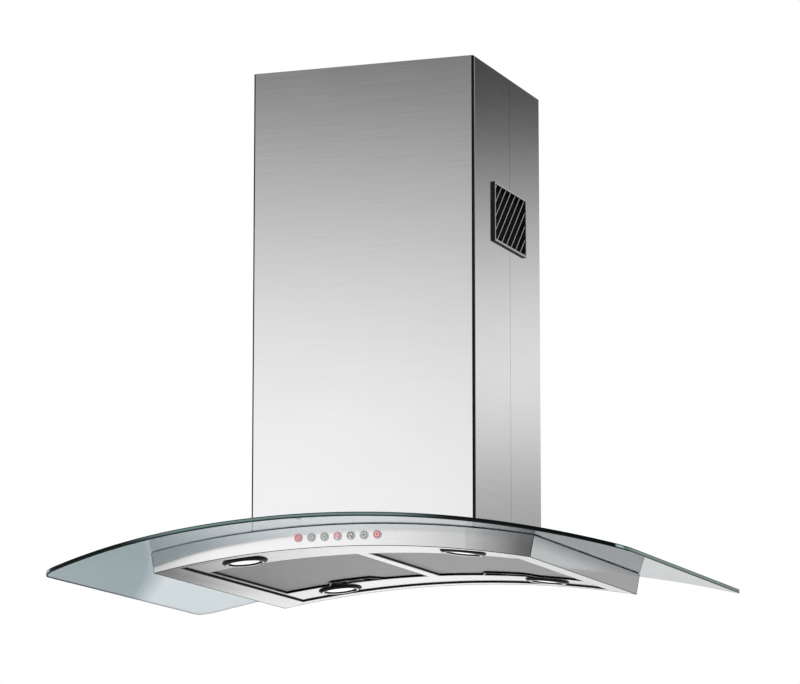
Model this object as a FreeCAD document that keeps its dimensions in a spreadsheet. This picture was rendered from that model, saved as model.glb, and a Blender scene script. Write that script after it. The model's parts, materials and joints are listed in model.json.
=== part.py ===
import FreeCAD, Part
import math
import os
import re
import Sketcher

# An island range hood, in millimetres: +X to the right, +Y to the back, +Z up.  The origin is the middle of
# the ceiling plane that the hood hangs from.  The tempered glass is bent to one arch about a Y axis, and
# every layer of the body under it is an offset of that arch.

doc = FreeCAD.newDocument("range_hood")
sheet = doc.addObject("Spreadsheet::Sheet", "sizes")

sizes = [
    # the whole
    ("hang_drop", 706, "ceiling to the underside of the glass at its crown"),
    ("arch_radius", 1680, "radius of the underside of the glass"),
    ("cut_over", 1, "how far a cut runs past a face"),
    # glass
    ("glass_width", 900, "glass, side to side"),
    ("glass_depth", 700, "glass, front to back at the middle"),
    ("glass_thickness", 6, "glass"),
    ("glass_corner", 34, "rounding of the four glass corners"),
    ("glass_mid_radius", 4500, "plan radius of the middle of the front edge"),
    ("glass_mid_half", 200, "half the length of that middle arc"),
    ("glass_end_radius", 950, "plan radius of the ends of the front edge"),
    ("cutout_play", 6, "hole in the glass past the base plate's hole"),
    ("cutout_corner", 14, "rounding of that hole"),
    ("gasket_thickness", 2.5, "rubber between the body and the glass"),
    ("gasket_width", 12, "rubber between the body and the glass"),
    ("gasket_inset", 0.8, "how far the rubber stays inside the body's edge"),
    # body
    ("body_width", 592, "body at its top edge"),
    ("body_depth", 528, "body, front to back at the middle"),
    ("body_height", 30, "height of the front band"),
    ("body_wall", 1.2, "folded steel of the body"),
    ("band_thickness", 1.5, "front band"),
    ("rim_side", 44, "underside rim at the left and right"),
    ("rim_end", 21, "underside rim at the front and back"),
    ("panel_recess", 2, "inner panel above the rim's lower face"),
    ("panel_thickness", 1.2, "inner panel"),
    ("panel_lap", 7, "inner panel over the rim"),
    ("seal_bead", 1.8, "visible bead of the seal round the inner panel"),
    ("seal_set", 1, "seal inside the panel's edge"),
    ("seal_lift", 0.2, "bead above the rim's lower face"),
    # grease filters
    ("divider_width", 16, "panel strip between the filters"),
    ("panel_side", 9, "inner panel beside the filters"),
    ("filter_height", 8, "filter"),
    ("filter_border", 1.6, "filter frame round the mesh"),
    ("filter_gap", 1, "play round the filter at its sides and back"),
    ("filter_front_gap", 1.6, "play in front of the filter, for its swing"),
    ("mesh_thickness", 1.6, "filter mesh"),
    ("mesh_recess", 3, "mesh above the frame's lower face"),
    ("notch_base", 88, "finger notch at the filter's back edge"),
    ("notch_top", 62, "finger notch at its inner end"),
    ("notch_depth", 30, "finger notch"),
    ("notch_roof", 1.5, "plate that closes the notch above"),
    ("latch_width", 21, "sliding latch"),
    ("latch_depth", 20, "sliding latch"),
    ("latch_height", 4.4, "sliding latch"),
    ("nose_bow", 1.25, "radius of the latch's nose, over half its width"),
    ("latch_play", 0.9, "beside the sliding latch"),
    ("latch_lift", 0.2, "above the sliding latch"),
    ("rail_thickness", 2, "rails that guide the latch"),
    ("tab_width", 22, "hooks at the filter's front edge"),
    ("tab_reach", 7, "hooks over the panel"),
    ("tab_thickness", 1.5, "hooks"),
    ("tab_play", 0.3, "hooks above the panel"),
    # lamps
    ("lamp_spread_x", 340, "lamps, side to side"),
    ("lamp_end", 15, "chrome ring from the rim at the front and back"),
    ("lamp_margin", 7, "chrome ring from the filters"),
    ("lamp_ring_radius", 34, "chrome ring"),
    ("lamp_lens_radius", 24, "lens"),
    ("lamp_lens_thickness", 2.5, "lens"),
    ("lamp_ring_height", 3.5, "chrome ring below the panel"),
    ("lamp_ring_bevel", 1.2, "outer edge of the chrome ring"),
    ("lens_recess", 2.3, "lens above the ring's lower face"),
    ("lamp_can_radius", 27, "lamp holder"),
    ("lamp_can_height", 19, "lamp holder"),
    ("lamp_wall", 1, "lamp holder and ring lip"),
    ("lens_lap", 1, "lens on the ring's lip"),
    ("lens_play", 0.2, "round the lens"),
    ("can_play", 0.5, "panel round the lamp holder"),
    ("can_stand", 0.3, "lamp holder above the panel's lower face"),
    ("bulb_radius", 5, "capsule bulb"),
    ("bulb_length", 13, "capsule bulb"),
    # buttons
    ("button_count", 7, "buttons in the front band"),
    ("button_pitch", 20.3, "button to button"),
    ("button_offset", 3, "middle button from the middle of the hood"),
    ("button_radius", 5.3, "button cap"),
    ("button_play", 0.3, "round the cap"),
    ("button_proud", 1.4, "cap in front of the band"),
    ("button_travel", 0.9, "press"),
    ("button_flange", 1, "rim that keeps the cap in"),
    ("button_rim", 1.4, "that rim past the cap"),
    ("button_slack", 0.4, "rim behind the shell"),
    ("button_stem_radius", 1.6, "stem behind the cap"),
    ("button_stem", 4, "stem behind the rim"),
    ("ring_radius", 6.8, "trim ring round each button"),
    ("ring_thickness", 0.7, "trim ring"),
    ("ring_sink", 0.05, "trim ring pressed into the bowed band"),
    ("switch_side", 6, "key switch"),
    ("switch_depth", 4, "key switch"),
    ("switch_gap", 0.1, "left between stem and switch at full press"),
    ("board_thickness", 1.6, "control board"),
    ("board_rise", 6, "control board from the body's top and bottom"),
    ("board_set", 0.5, "switches further back, for the bow of the band"),
    ("board_play", 0.2, "control board in its tray"),
    ("board_ledge", 3, "ledges that hold the board"),
    ("board_margin", 14, "control board past the last buttons"),
    ("tray_wall", 1.6, "tray behind the board"),
    # chimney
    ("chimney_width", 350, "chimney, side to side"),
    ("chimney_depth", 304, "chimney, front to back"),
    ("chimney_wall", 1.2, "chimney sheet"),
    ("chimney_fold", 2.4, "rounding of the chimney's corners"),
    ("chimney_seam", 8, "side seam behind the middle"),
    ("seam_lap", 12, "back shell inside the front shell"),
    ("seam_hold", 4, "lap strip behind the seam"),
    ("seam_step", 0.5, "bend of the lap strip behind the seam"),
    ("lap_play", 0.2, "between the two shells"),
    ("seam_gap", 0.8, "open seam between the two shells"),
    ("foot_gap", 1.6, "black strip between chimney and glass"),
    ("foot_depth", 40, "chimney sheets below the crown, before the arch trims them"),
    ("top_gap", 1, "chimney below the ceiling"),
    ("panel_inset", 2.5, "front panel inside the chimney's edges"),
    ("panel_sheet", 1, "front panel of the chimney"),
    ("strip_depth", 5.6, "black strip behind the front panel"),
    ("strip_width", 14, "black strip behind the front panel"),
    # vents
    ("vent_length", 147, "side vent, front to back"),
    ("vent_height", 90, "side vent"),
    ("vent_middle", 2.5, "side vent behind the middle"),
    ("vent_above", 486, "middle of the vent above the crown"),
    ("vent_proud", 3.8, "vent frame outside the sheet"),
    ("vent_border", 3.2, "vent frame"),
    ("vent_overlap", 2, "vent frame over the sheet"),
    ("vent_play", 0.3, "vent frame's collar in its hole"),
    ("vent_collar", 5, "vent frame inside the sheet"),
    ("vent_bar", 1.8, "slanted bars"),
    ("vent_pitch", 15, "bar to bar"),
    ("vent_bar_depth", 2.4, "slanted bars"),
    # hanging frame
    ("bracket_sheet", 3, "ceiling bracket"),
    ("bracket_open_width", 230, "hole for the duct"),
    ("bracket_open_depth", 224, "hole for the duct"),
    ("bolt_spacing_x", 280, "ceiling bolts"),
    ("bolt_spacing_y", 250, "ceiling bolts"),
    ("bolt_hole", 4, "radius of the ceiling bolt holes"),
    ("angle_side", 20, "corner uprights"),
    ("angle_sheet", 2, "corner uprights"),
    ("angle_inset", 5.5, "corner uprights inside the chimney sheet"),
    ("base_above", 12, "base plate above the crown"),
    ("base_sheet", 2, "base plate"),
    ("base_open_width", 250, "hole in the base plate"),
    ("base_open_depth", 230, "hole in the base plate"),
    ("sleeve_wall", 1.2, "inlet sleeve through the glass"),
    ("sleeve_gap", 1, "inlet sleeve inside its holes"),
    ("sleeve_reach", 6, "inlet sleeve below the body's roof"),
    ("sleeve_rise", 2, "inlet sleeve above the base plate"),
    ("stud_inset", 13.3, "studs from the base plate's edge"),
    ("hole_play", 0.3, "round the studs in steel and rubber"),
    ("stud_y", 100, "studs through the glass"),
    ("stud_radius", 3, "studs through the glass"),
    ("stud_hole", 5, "holes in the glass"),
    ("stud_head", 5, "head and nut"),
    ("stud_head_height", 4, "head and nut"),
    ("bush_radius", 11, "rubber bush under the base plate"),
    # blower
    ("box_play", 8.3, "blower box from the uprights"),
    ("box_gap", 15.8, "blower box from the chimney at the front and back"),
    ("box_height", 286, "blower box"),
    ("box_wall", 1, "blower box"),
    ("fan_radius", 75, "impeller"),
    ("fan_width", 130, "impeller"),
    ("fan_blades", 22, "impeller"),
    ("blade_chord", 12, "impeller blade"),
    ("blade_thickness", 1, "impeller blade"),
    ("blade_curve", 28, "impeller blade radius"),
    ("fan_disc", 2, "impeller's middle disc and rims"),
    ("blade_set", 0.5, "blades inside the edges of the rims"),
    ("blade_tip", 0.8, "outer blade edge from the impeller's edge"),
    ("hub_radius", 12, "impeller"),
    ("hub_length", 18, "impeller"),
    ("scroll_step", 10, "growth of the scroll in each quarter"),
    ("scroll_gap", 14, "scroll's cut-off from the impeller"),
    ("scroll_above", 10.5, "scroll above the base plate"),
    ("scroll_back", 1.5, "scroll from the blower box's back"),
    ("scroll_lip", 6, "rise of the cut-off"),
    ("scroll_outlet", 100, "scroll outlet, front to back"),
    ("scroll_wall", 1.5, "scroll"),
    ("scroll_side", 8.5, "scroll beside the impeller"),
    ("inlet_inset", 11, "scroll inlets inside the impeller's rim"),
    ("motor_radius", 44, "motor"),
    ("motor_length", 56, "motor"),
    ("boss_radius", 17.5, "bearing boss at the motor's end"),
    ("boss_length", 4, "bearing boss at the motor's end"),
    ("shaft_radius", 4, "motor shaft"),
    ("shaft_play", 0.05, "motor shaft in its bearings"),
    ("arm_width", 14, "motor bracket"),
    ("arm_sheet", 2.5, "motor bracket"),
    ("arm_start", 22, "inner end of the bracket's arms"),
    ("arm_lap", 8, "arms past the scroll's inlet"),
    ("spider_radius", 35, "middle of the motor bracket"),
    ("shaft_clear", 1, "bracket round the shaft"),
    # outlet
    ("collar_radius", 74.5, "outlet collar, outside"),
    ("collar_wall", 2, "outlet collar"),
    ("collar_height", 52, "outlet collar"),
    ("flange_reach", 9.5, "outlet collar's flange"),
    ("collar_flange_height", 3, "outlet collar's flange"),
    ("flap_above", 16, "flap pin above the flange"),
    ("flap_sheet", 1.4, "flaps"),
    ("flap_play", 0.7, "flaps inside the collar"),
    ("flap_seat", 3.5, "ledge under the flaps"),
    ("flap_rest", 0.3, "between the flaps and their ledge"),
    ("pin_radius", 1.5, "flap pin"),
    ("pin_play", 0.05, "flap pin in its knuckles"),
    ("pin_short", 0.3, "flap pin inside the collar's face"),
    ("knuckle_wall", 1.3, "knuckles"),
    ("knuckle_gap", 0.4, "between knuckles"),
    ("knuckle_end", 3, "end knuckles shorter"),
    ("knuckle_clear", 0.3, "flap edge from the other flap's knuckles"),
    ("knuckle_lap", 1, "knuckle webs over the flap"),
    # electrics
    ("terminal_width", 140, "terminal box"),
    ("terminal_depth", 56, "terminal box"),
    ("terminal_height", 62, "terminal box"),
    ("terminal_inset", 7, "terminal box from the blower box's back"),
    ("terminal_wall", 2, "terminal box"),
    ("gland_radius", 9, "cable gland"),
    ("gland_bore", 4, "cable gland"),
    ("gland_height", 18, "cable gland"),
    ("gland_tip", 6.3, "radius of the gland's tip"),
    # screws
    ("screw_radius", 2, "sheet screws"),
    ("screw_head", 3.8, "sheet screws"),
    ("screw_head_height", 1.6, "sheet screws"),
    ("screw_length", 7, "sheet screws"),
]
for row, (alias, size, note) in enumerate(sizes, 1):
    sheet.set("A%d" % row, note)
    sheet.set("B%d" % row, str(size))
    sheet.setAlias("B%d" % row, alias)
doc.recompute()

aliases = {row[0] for row in sizes}
word = re.compile(r"[a-z][a-z_0-9]*")

# sizes that follow from the driving ones and a clearance
follows = {
    "cutout_width": "base_open_width + 2 * cutout_play",
    "cutout_depth": "base_open_depth + 2 * cutout_play",
    "filter_width": "body_width / 2 - rim_side - divider_width / 2 - filter_gap - panel_side",
    "lamp_spread_y": "body_depth - 2 * (rim_end + lamp_end + lamp_ring_radius)",
    "filter_depth": "lamp_spread_y - 2 * (lamp_ring_radius + lamp_margin)",
    "button_drop": "gasket_thickness + body_height / 2",
    "board_height": "body_height - 2 * board_rise",
    "panel_width": "chimney_width - 2 * panel_inset",
    "bracket_width": "chimney_width - 2 * (chimney_wall + angle_inset)",
    "bracket_depth": "chimney_depth - 2 * (chimney_wall + angle_inset)",
    "stud_x": "bracket_width / 2 - stud_inset",
    "box_width": "bracket_width - 2 * (angle_side + box_play)",
    "box_depth": "chimney_depth - 2 * (chimney_wall + box_gap)",
    "scroll_start": "fan_radius + scroll_gap",
    "scroll_width": "fan_width + 2 * (scroll_side + scroll_wall)",
    "inlet_radius": "fan_radius - inlet_inset",
    "fan_above": "base_above + base_sheet + scroll_above + scroll_start + 2 * scroll_step + scroll_wall",
    "fan_y": "box_depth / 2 - box_wall - scroll_back - scroll_start - scroll_step - scroll_wall",
    "outlet_y": "fan_y - scroll_start - 2 * scroll_step + scroll_outlet / 2",
    "collar_flange": "collar_radius + flange_reach",
    "terminal_y": "box_depth / 2 - terminal_inset - terminal_depth / 2",
}


def ref(text):
    """A formula written with size names, as an expression that other objects understand."""
    def full(found):
        name = found.group()
        if name in follows:
            return "(" + ref(follows[name]) + ")"
        return "sizes." + name if name in aliases else name
    return word.sub(full, str(text))


def val(text):
    return float(sheet.evalExpression(ref(text)))


def link(thing, **formulas):
    for name, text in formulas.items():
        thing.setExpression(name.replace("_at_", "."), ref(text))
    return thing


def place(thing, x="0", y="0", z="0"):
    for letter, text in zip("xyz", (x, y, z)):
        thing.setExpression(".Placement.Base." + letter, ref(text))
    return thing


# ---- sketches ----------------------------------------------------------------------------------------

def held(sketch, constraint, text):
    sketch.addConstraint(constraint)
    sketch.setExpression("Constraints[%d]" % (sketch.ConstraintCount - 1), ref(text))


def pin_point(sketch, geo, end, x, y):
    held(sketch, Sketcher.Constraint("DistanceX", -1, 1, geo, end, val(x)), x)
    held(sketch, Sketcher.Constraint("DistanceY", -1, 1, geo, end, val(y)), y)


def circle(sketch, x, y, radius):
    middle = FreeCAD.Vector(val(x), val(y), 0)
    geo = sketch.addGeometry(Part.Circle(middle, FreeCAD.Vector(0, 0, 1), val(radius)), False)
    pin_point(sketch, geo, 3, x, y)
    held(sketch, Sketcher.Constraint("Radius", geo, val(radius)), radius)


def loop(sketch, corners):
    """A closed outline.  A corner is (x, y) or (x, y, r): the edge that leaves it is then an arc of radius
    r, which turns left where the third item is a formula, and right where a fourth item is True."""
    ends = []
    for here, after in zip(corners, corners[1:] + corners[:1]):
        a = FreeCAD.Vector(val(here[0]), val(here[1]), 0)
        b = FreeCAD.Vector(val(after[0]), val(after[1]), 0)
        if len(here) == 2:
            geo = sketch.addGeometry(Part.LineSegment(a, b), False)
            ends.append((geo, 1, 2))
            continue
        right = len(here) == 4
        first, last = (b, a) if right else (a, b)
        across = last - first
        radius = val(here[2])
        rise = math.sqrt(max(radius * radius - across.Length ** 2 / 4, 0))
        side = FreeCAD.Vector(-across.y, across.x, 0) / across.Length
        middle = (first + last) / 2 + side * rise
        start = math.atan2(first.y - middle.y, first.x - middle.x)
        stop = math.atan2(last.y - middle.y, last.x - middle.x)
        arc = Part.ArcOfCircle(Part.Circle(middle, FreeCAD.Vector(0, 0, 1), radius), start, stop)
        geo = sketch.addGeometry(arc, False)
        ends.append((geo, 2, 1) if right else (geo, 1, 2))
    for i, (geo, start, stop) in enumerate(ends):
        before = ends[i - 1]
        sketch.addConstraint(Sketcher.Constraint("Coincident", before[0], before[2], geo, start))
        pin_point(sketch, geo, start, corners[i][0], corners[i][1])
        if len(corners[i]) > 2:
            held(sketch, Sketcher.Constraint("Radius", geo, val(corners[i][2])), corners[i][2])


def rectangle(sketch, x0, x1, y0, y1):
    loop(sketch, [(x0, y0), (x1, y0), (x1, y1), (x0, y1)])


def free_sketch(name, plane="XY"):
    sketch = doc.addObject("Sketcher::SketchObject", name)
    if plane == "XZ":
        sketch.Placement = FreeCAD.Placement(FreeCAD.Vector(), FreeCAD.Rotation(FreeCAD.Vector(1, 0, 0), 90))
    return sketch


# ---- Part operations ---------------------------------------------------------------------------------

def extrude(sketch, direction, ahead, behind="0"):
    solid = doc.addObject("Part::Extrusion", sketch.Name + "_run")
    solid.Base = sketch
    solid.DirMode = "Custom"
    solid.Dir = direction
    solid.Solid = True
    return link(solid, LengthFwd=ahead, LengthRev=behind)


def box(x0, x1, y0, y1, z0, z1):
    solid = doc.addObject("Part::Box", "block")
    link(solid, Length=f"({x1}) - ({x0})", Width=f"({y1}) - ({y0})", Height=f"({z1}) - ({z0})")
    return place(solid, x0, y0, z0)


def cylinder(radius, height, x, y, z, axis="Z"):
    solid = doc.addObject("Part::Cylinder", "round")
    if axis == "X":
        solid.Placement.Rotation = FreeCAD.Rotation(FreeCAD.Vector(0, 1, 0), 90)
    if axis == "Y":
        solid.Placement.Rotation = FreeCAD.Rotation(FreeCAD.Vector(1, 0, 0), -90)
    link(solid, Radius=radius, Height=height)
    return place(solid, x, y, z)


def prism(sides, radius, height, x, y, z):
    solid = doc.addObject("Part::Prism", "prism")
    solid.Polygon = sides
    link(solid, Circumradius=radius, Height=height)
    return place(solid, x, y, z)


def fuse(pieces):
    if len(pieces) == 1:
        return pieces[0]
    solid = doc.addObject("Part::MultiFuse", "fused")
    solid.Shapes = pieces
    return solid


def cut(base, tools):
    solid = doc.addObject("Part::Cut", "cut")
    solid.Base = base
    solid.Tool = fuse(tools)
    return solid


def common(first, second):
    solid = doc.addObject("Part::Common", "shared")
    solid.Base = first
    solid.Tool = second
    return solid


def compound(pieces):
    group = doc.addObject("Part::Compound", "group")
    group.Links = pieces
    return group


nodes = []


def node(label, thing):
    thing.Label = label
    nodes.append(thing)
    return thing


# ---- PartDesign operations ---------------------------------------------------------------------------

def new_body(label):
    body = doc.addObject("PartDesign::Body", label)
    return node(label, body)


def body_sketch(body, plane, offset="0"):
    sketch = body.newObject("Sketcher::SketchObject", body.Name + "_sketch")
    origin = next(o for o in body.Origin.OriginFeatures if o.Role == plane + "_Plane")
    sketch.AttachmentSupport = (origin, [""])
    sketch.MapMode = "FlatFace"
    sketch.setExpression(".AttachmentOffset.Base.z", ref(offset))
    return sketch


def feature(body, kind, sketch, length=None, both=False, back=False):
    made = body.newObject("PartDesign::" + kind, body.Name + "_" + kind.lower())
    made.Profile = sketch
    if length:
        link(made, Length=length)
    if both:
        made.SideType = "Symmetric"
    made.Reversed = back
    body.Tip = made
    return made


def turn(body, sketch, kind="Revolution", about="V_Axis"):
    made = body.newObject("PartDesign::" + kind, body.Name + "_turned")
    made.Profile = sketch
    made.ReferenceAxis = (sketch, [about])
    made.Angle = 360
    body.Tip = made
    return made


def ring_copies(body, made, count):
    copies = body.newObject("PartDesign::PolarPattern", body.Name + "_ring")
    copies.Originals = [made]
    copies.Axis = (made.Profile[0], ["N_Axis"])
    copies.Angle = 360
    link(copies, Occurrences=count)
    body.Tip = copies
    return copies


# ---- the arch and the plan ---------------------------------------------------------------------------

tall = "hang_drop"                       # longer than any cut needs to be
low_end = "(0 - hang_drop * 1.5)"        # lower than any cut needs to reach
half_body_sine = "(body_width / 2 / (arch_radius - gasket_thickness))"
half_body_cosine = f"sqrt(1 - {half_body_sine}^2)"

glass_top = "glass_thickness"            # layers, as offsets from the underside of the glass
body_top = "(0 - gasket_thickness)"
roof_under = f"({body_top} - body_wall)"
rim_under = f"({body_top} - body_height)"
rim_top = f"({rim_under} + body_wall)"
panel_under = f"({rim_under} + panel_recess)"
panel_top = f"({panel_under} + panel_thickness)"
overhang = "((glass_depth - body_depth) / 2)"


def arch_z(offset, x="0"):
    """Height of the layer at this offset, at this distance from the middle."""
    return f"(sqrt((arch_radius + {offset})^2 - ({x})^2) - arch_radius - hang_drop)"


def arch_strip(name, low, high, x0, x1):
    """Elevation of a layer between two offsets and two places along X."""
    sketch = free_sketch(name + "_elevation", "XZ")
    loop(sketch, [
        (x0, arch_z(low, x0), f"arch_radius + {low}", True),
        (x1, arch_z(low, x1)),
        (x1, arch_z(high, x1), f"arch_radius + {high}"),
        (x0, arch_z(high, x0)),
    ])
    return extrude(sketch, FreeCAD.Vector(0, 1, 0), "glass_depth", "glass_depth")


def body_strip(name, low, high, inset="0"):
    """Elevation of a body layer, whose ends stand square to the arch."""
    def end(offset, side):
        x = f"({side} * ((arch_radius + {offset}) * {half_body_sine} - {inset} * {half_body_cosine}))"
        z = f"((arch_radius + {offset}) * {half_body_cosine} + {inset} * {half_body_sine}"
        return x, z + " - arch_radius - hang_drop)"
    sketch = free_sketch(name + "_elevation", "XZ")
    loop(sketch, [
        end(low, -1) + (f"arch_radius + {low}", True),
        end(low, 1),
        end(high, 1) + (f"arch_radius + {high}",),
        end(high, -1),
    ])
    return extrude(sketch, FreeCAD.Vector(0, 1, 0), "glass_depth", "glass_depth")


mid_cosine = "sqrt(1 - (glass_mid_half / glass_mid_radius)^2)"
end_x = "(glass_mid_half * (1 - glass_end_radius / glass_mid_radius))"
end_y = f"(glass_mid_radius - glass_depth / 2 - (glass_mid_radius - glass_end_radius) * {mid_cosine})"


def front_at(x, inset):
    """Y of the front edge near the middle, this far inside the glass edge."""
    return f"(glass_mid_radius - glass_depth / 2 - sqrt((glass_mid_radius - {inset})^2 - ({x})^2))"


def plan(name, half_width, inset, back=None):
    """Plan outline: three tangent arcs along the front, straight sides, and the same arcs or a straight
    edge at the back."""
    mid_x = f"(glass_mid_half * (1 - {inset} / glass_mid_radius))"
    mid_y = f"(glass_mid_radius - glass_depth / 2 - (glass_mid_radius - {inset}) * {mid_cosine})"
    corner_y = f"({end_y} - sqrt((glass_end_radius - {inset})^2 - ({half_width} - {end_x})^2))"
    mid, end = f"glass_mid_radius - {inset}", f"glass_end_radius - {inset}"
    front = [
        (f"(0 - {half_width})", corner_y, end),
        (f"(0 - {mid_x})", mid_y, mid),
        (mid_x, mid_y, end),
        (half_width, corner_y),
    ]
    if back:
        rear = [(half_width, back), (f"(0 - {half_width})", back)]
    else:
        rear = [
            (half_width, f"(0 - {corner_y})", end),
            (mid_x, f"(0 - {mid_y})", mid),
            (f"(0 - {mid_x})", f"(0 - {mid_y})", end),
            (f"(0 - {half_width})", f"(0 - {corner_y})"),
        ]
    sketch = free_sketch(name + "_plan")
    loop(sketch, front + rear)
    return sketch


def column(sketch):
    """A plan outline as a tall block that crosses every layer."""
    return extrude(sketch, FreeCAD.Vector(0, 0, -1), "hang_drop * 1.5", "hang_drop / 10")


def tower(half_x, half_y, x="0", y="0"):
    """A tall rectangular block about a point of the plan."""
    return box(f"{x} - {half_x}", f"{x} + {half_x}", f"{y} - {half_y}", f"{y} + {half_y}",
               low_end, "0")


def rounded_edges(solid, radius, wanted):
    """Fillet on the edges that the test picks."""
    doc.recompute()
    rounded = doc.addObject("Part::Fillet", "rounded")
    rounded.Base = solid
    edges = enumerate(solid.Shape.Edges, 1)
    rounded.Edges = [(i, val(radius), val(radius)) for i, edge in edges if wanted(edge)]
    return rounded


def upright(edge):
    box_of = edge.BoundBox
    return box_of.ZLength > 1 and box_of.XLength < 0.01 and box_of.YLength < 0.01


# ---- glass -------------------------------------------------------------------------------------------

stud_places = [(f"({i} * stud_x)", f"({j} * stud_y)") for j in (-1, 1) for i in (-1, 1)]

glass_block = rounded_edges(column(plan("glass", "(glass_width / 2)", "0")), "glass_corner", upright)
glass_hole = rounded_edges(tower("cutout_width / 2", "cutout_depth / 2"), "cutout_corner", upright)
glass_holes = [cylinder("stud_hole", tall, x, y, low_end) for x, y in stud_places]
glass_sheet = common(arch_strip("glass", "0", glass_top, "(0 - glass_width)", "glass_width"), glass_block)
node("glass_canopy", cut(glass_sheet, [glass_hole] + glass_holes))

gasket_half = "(body_width / 2 - gasket_inset)"
gasket_back = "(body_depth / 2 - gasket_inset)"
gasket_ring = cut(
    column(plan("gasket", gasket_half, f"({overhang} + gasket_inset)", gasket_back)),
    [column(plan("gasket_hole", f"({gasket_half} - gasket_width)",
                 f"({overhang} + gasket_inset + gasket_width)", f"({gasket_back} - gasket_width)"))])
gasket_layer = arch_strip("gasket", body_top, "0", "(0 - body_width)", "body_width")
node("glass_gasket", common(gasket_layer, gasket_ring))

# ---- body --------------------------------------------------------------------------------------------

button_places = []
for i in range(int(val("button_count"))):
    button_places.append(f"(button_offset + ({i} - (button_count - 1) / 2) * button_pitch)")
button_z = "(0 - hang_drop - button_drop)"
button_holes = [
    cylinder("button_radius + button_play", "2 * (band_thickness + body_wall)", x,
             front_at(x, overhang) + " - band_thickness / 2", button_z, "Y") for x in button_places]

shell_inset = f"({overhang} + band_thickness)"
body_back = "(body_depth / 2)"
outer_half = "(body_width / 2 + body_wall)"

band_plan = cut(column(plan("band_front", outer_half, overhang, "0")),
                [column(plan("band_back", f"({outer_half} + body_wall)", shell_inset, "body_wall"))])
node("front_band", cut(common(body_strip("band", rim_under, body_top), band_plan), button_holes))

shell_outside = common(body_strip("shell", rim_under, body_top),
                       column(plan("shell", outer_half, shell_inset, body_back)))
shell_inside = common(
    body_strip("shell_inside", rim_top, roof_under, "body_wall"),
    column(plan("shell_inside", outer_half, f"({shell_inset} + body_wall)", f"({body_back} - body_wall)")))
rim_hole_x, rim_hole_y = "(body_width / 2 - rim_side)", "(body_depth / 2 - rim_end)"
rim_hole = box(f"0 - {rim_hole_x}", rim_hole_x, f"0 - {rim_hole_y}", rim_hole_y,
               low_end, f"0 - hang_drop - gasket_thickness - body_height / 2")
roof_hole = tower("base_open_width / 2", "base_open_depth / 2")
roof_studs = [prism(8, "stud_radius + hole_play", tall, x, y, low_end) for x, y in stud_places]
slot_half = "((button_count - 1) / 2 * button_pitch + button_radius + button_play)"
slot_front = front_at("0", overhang)
shell_slot = box(f"button_offset - {slot_half}", f"button_offset + {slot_half}", f"{slot_front} - cut_over",
                 f"{slot_front} + 3 * (band_thickness + body_wall)",
                 f"{button_z} - button_radius - button_play", f"{button_z} + button_radius + button_play")
node("body_shell", cut(shell_outside, [shell_inside, rim_hole, roof_hole, shell_slot] + roof_studs))

# inner panel: two filter openings and four lamp holes
filter_middle = "(divider_width / 2 + filter_gap + filter_width / 2)"
filter_front, filter_back = "(0 - filter_depth / 2)", "(filter_depth / 2)"
lamp_places = [(i, j) for j in (-1, 1) for i in (-1, 1)]
lamp_x, lamp_y = "lamp_spread_x / 2", "lamp_spread_y / 2"
panel_half_x, panel_half_y = f"({rim_hole_x} + panel_lap)", f"({rim_hole_y} + panel_lap)"
filter_openings = []
for side in (-1, 1):
    middle, half = f"({side} * {filter_middle})", "(filter_width / 2 + filter_gap)"
    filter_openings.append(box(
        f"{middle} - {half}", f"{middle} + {half}", f"{filter_front} - filter_front_gap",
        f"{filter_back} + filter_gap", low_end, "0"))
lamp_holes = [cylinder("lamp_can_radius + can_play", tall, f"{i} * {lamp_x}", f"{j} * {lamp_y}", low_end)
              for i, j in lamp_places]
panel_sheet = common(arch_strip("panel", panel_under, panel_top, f"(0 - {panel_half_x})", panel_half_x),
                     tower(panel_half_x, panel_half_y))
node("lamp_panel", cut(panel_sheet, filter_openings + lamp_holes))

seal_x, seal_y = f"({rim_hole_x} - seal_bead)", f"({rim_hole_y} - seal_bead)"
seal_lap = common(arch_strip("seal_lap", rim_top, panel_under, f"(0 - {panel_half_x})", panel_half_x),
                  tower(f"{panel_half_x} - seal_set", f"{panel_half_y} - seal_set"))
seal_drop = common(
    arch_strip("seal_bead", f"({rim_under} + seal_lift)", panel_under, f"(0 - {rim_hole_x})", rim_hole_x),
    tower(rim_hole_x, rim_hole_y))
node("panel_seal", cut(fuse([seal_lap, seal_drop]), [tower(seal_x, seal_y)]))

# ---- grease filters ----------------------------------------------------------------------------------

frame_under, frame_top = panel_under, f"({panel_under} + filter_height)"
mesh_under = f"({frame_under} + mesh_recess)"
mesh_top = f"({mesh_under} + mesh_thickness)"
roof_at = f"({frame_top} - notch_roof)"
chord_sine = f"({filter_middle} / (arch_radius + {frame_under}))"


def filter_plan(name, side, border):
    """Filter outline with its finger notch, this far inside the outer edge."""
    middle = f"({side} * {filter_middle})"
    half = f"(filter_width / 2 - {border})"
    front, back = f"({filter_front} + {border})", f"({filter_back} - {border})"
    inner_half, base_half = f"(notch_top / 2 + {border})", f"(notch_base / 2 + {border})"
    notch_y = f"({filter_back} - notch_depth - {border})"
    sketch = free_sketch(name + "_plan")
    loop(sketch, [
        (f"{middle} - {half}", front),
        (f"{middle} + {half}", front),
        (f"{middle} + {half}", back),
        (f"{middle} + {base_half}", back),
        (f"{middle} + {inner_half}", notch_y),
        (f"{middle} - {inner_half}", notch_y),
        (f"{middle} - {base_half}", back),
        (f"{middle} - {half}", back),
    ])
    return column(sketch)


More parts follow.
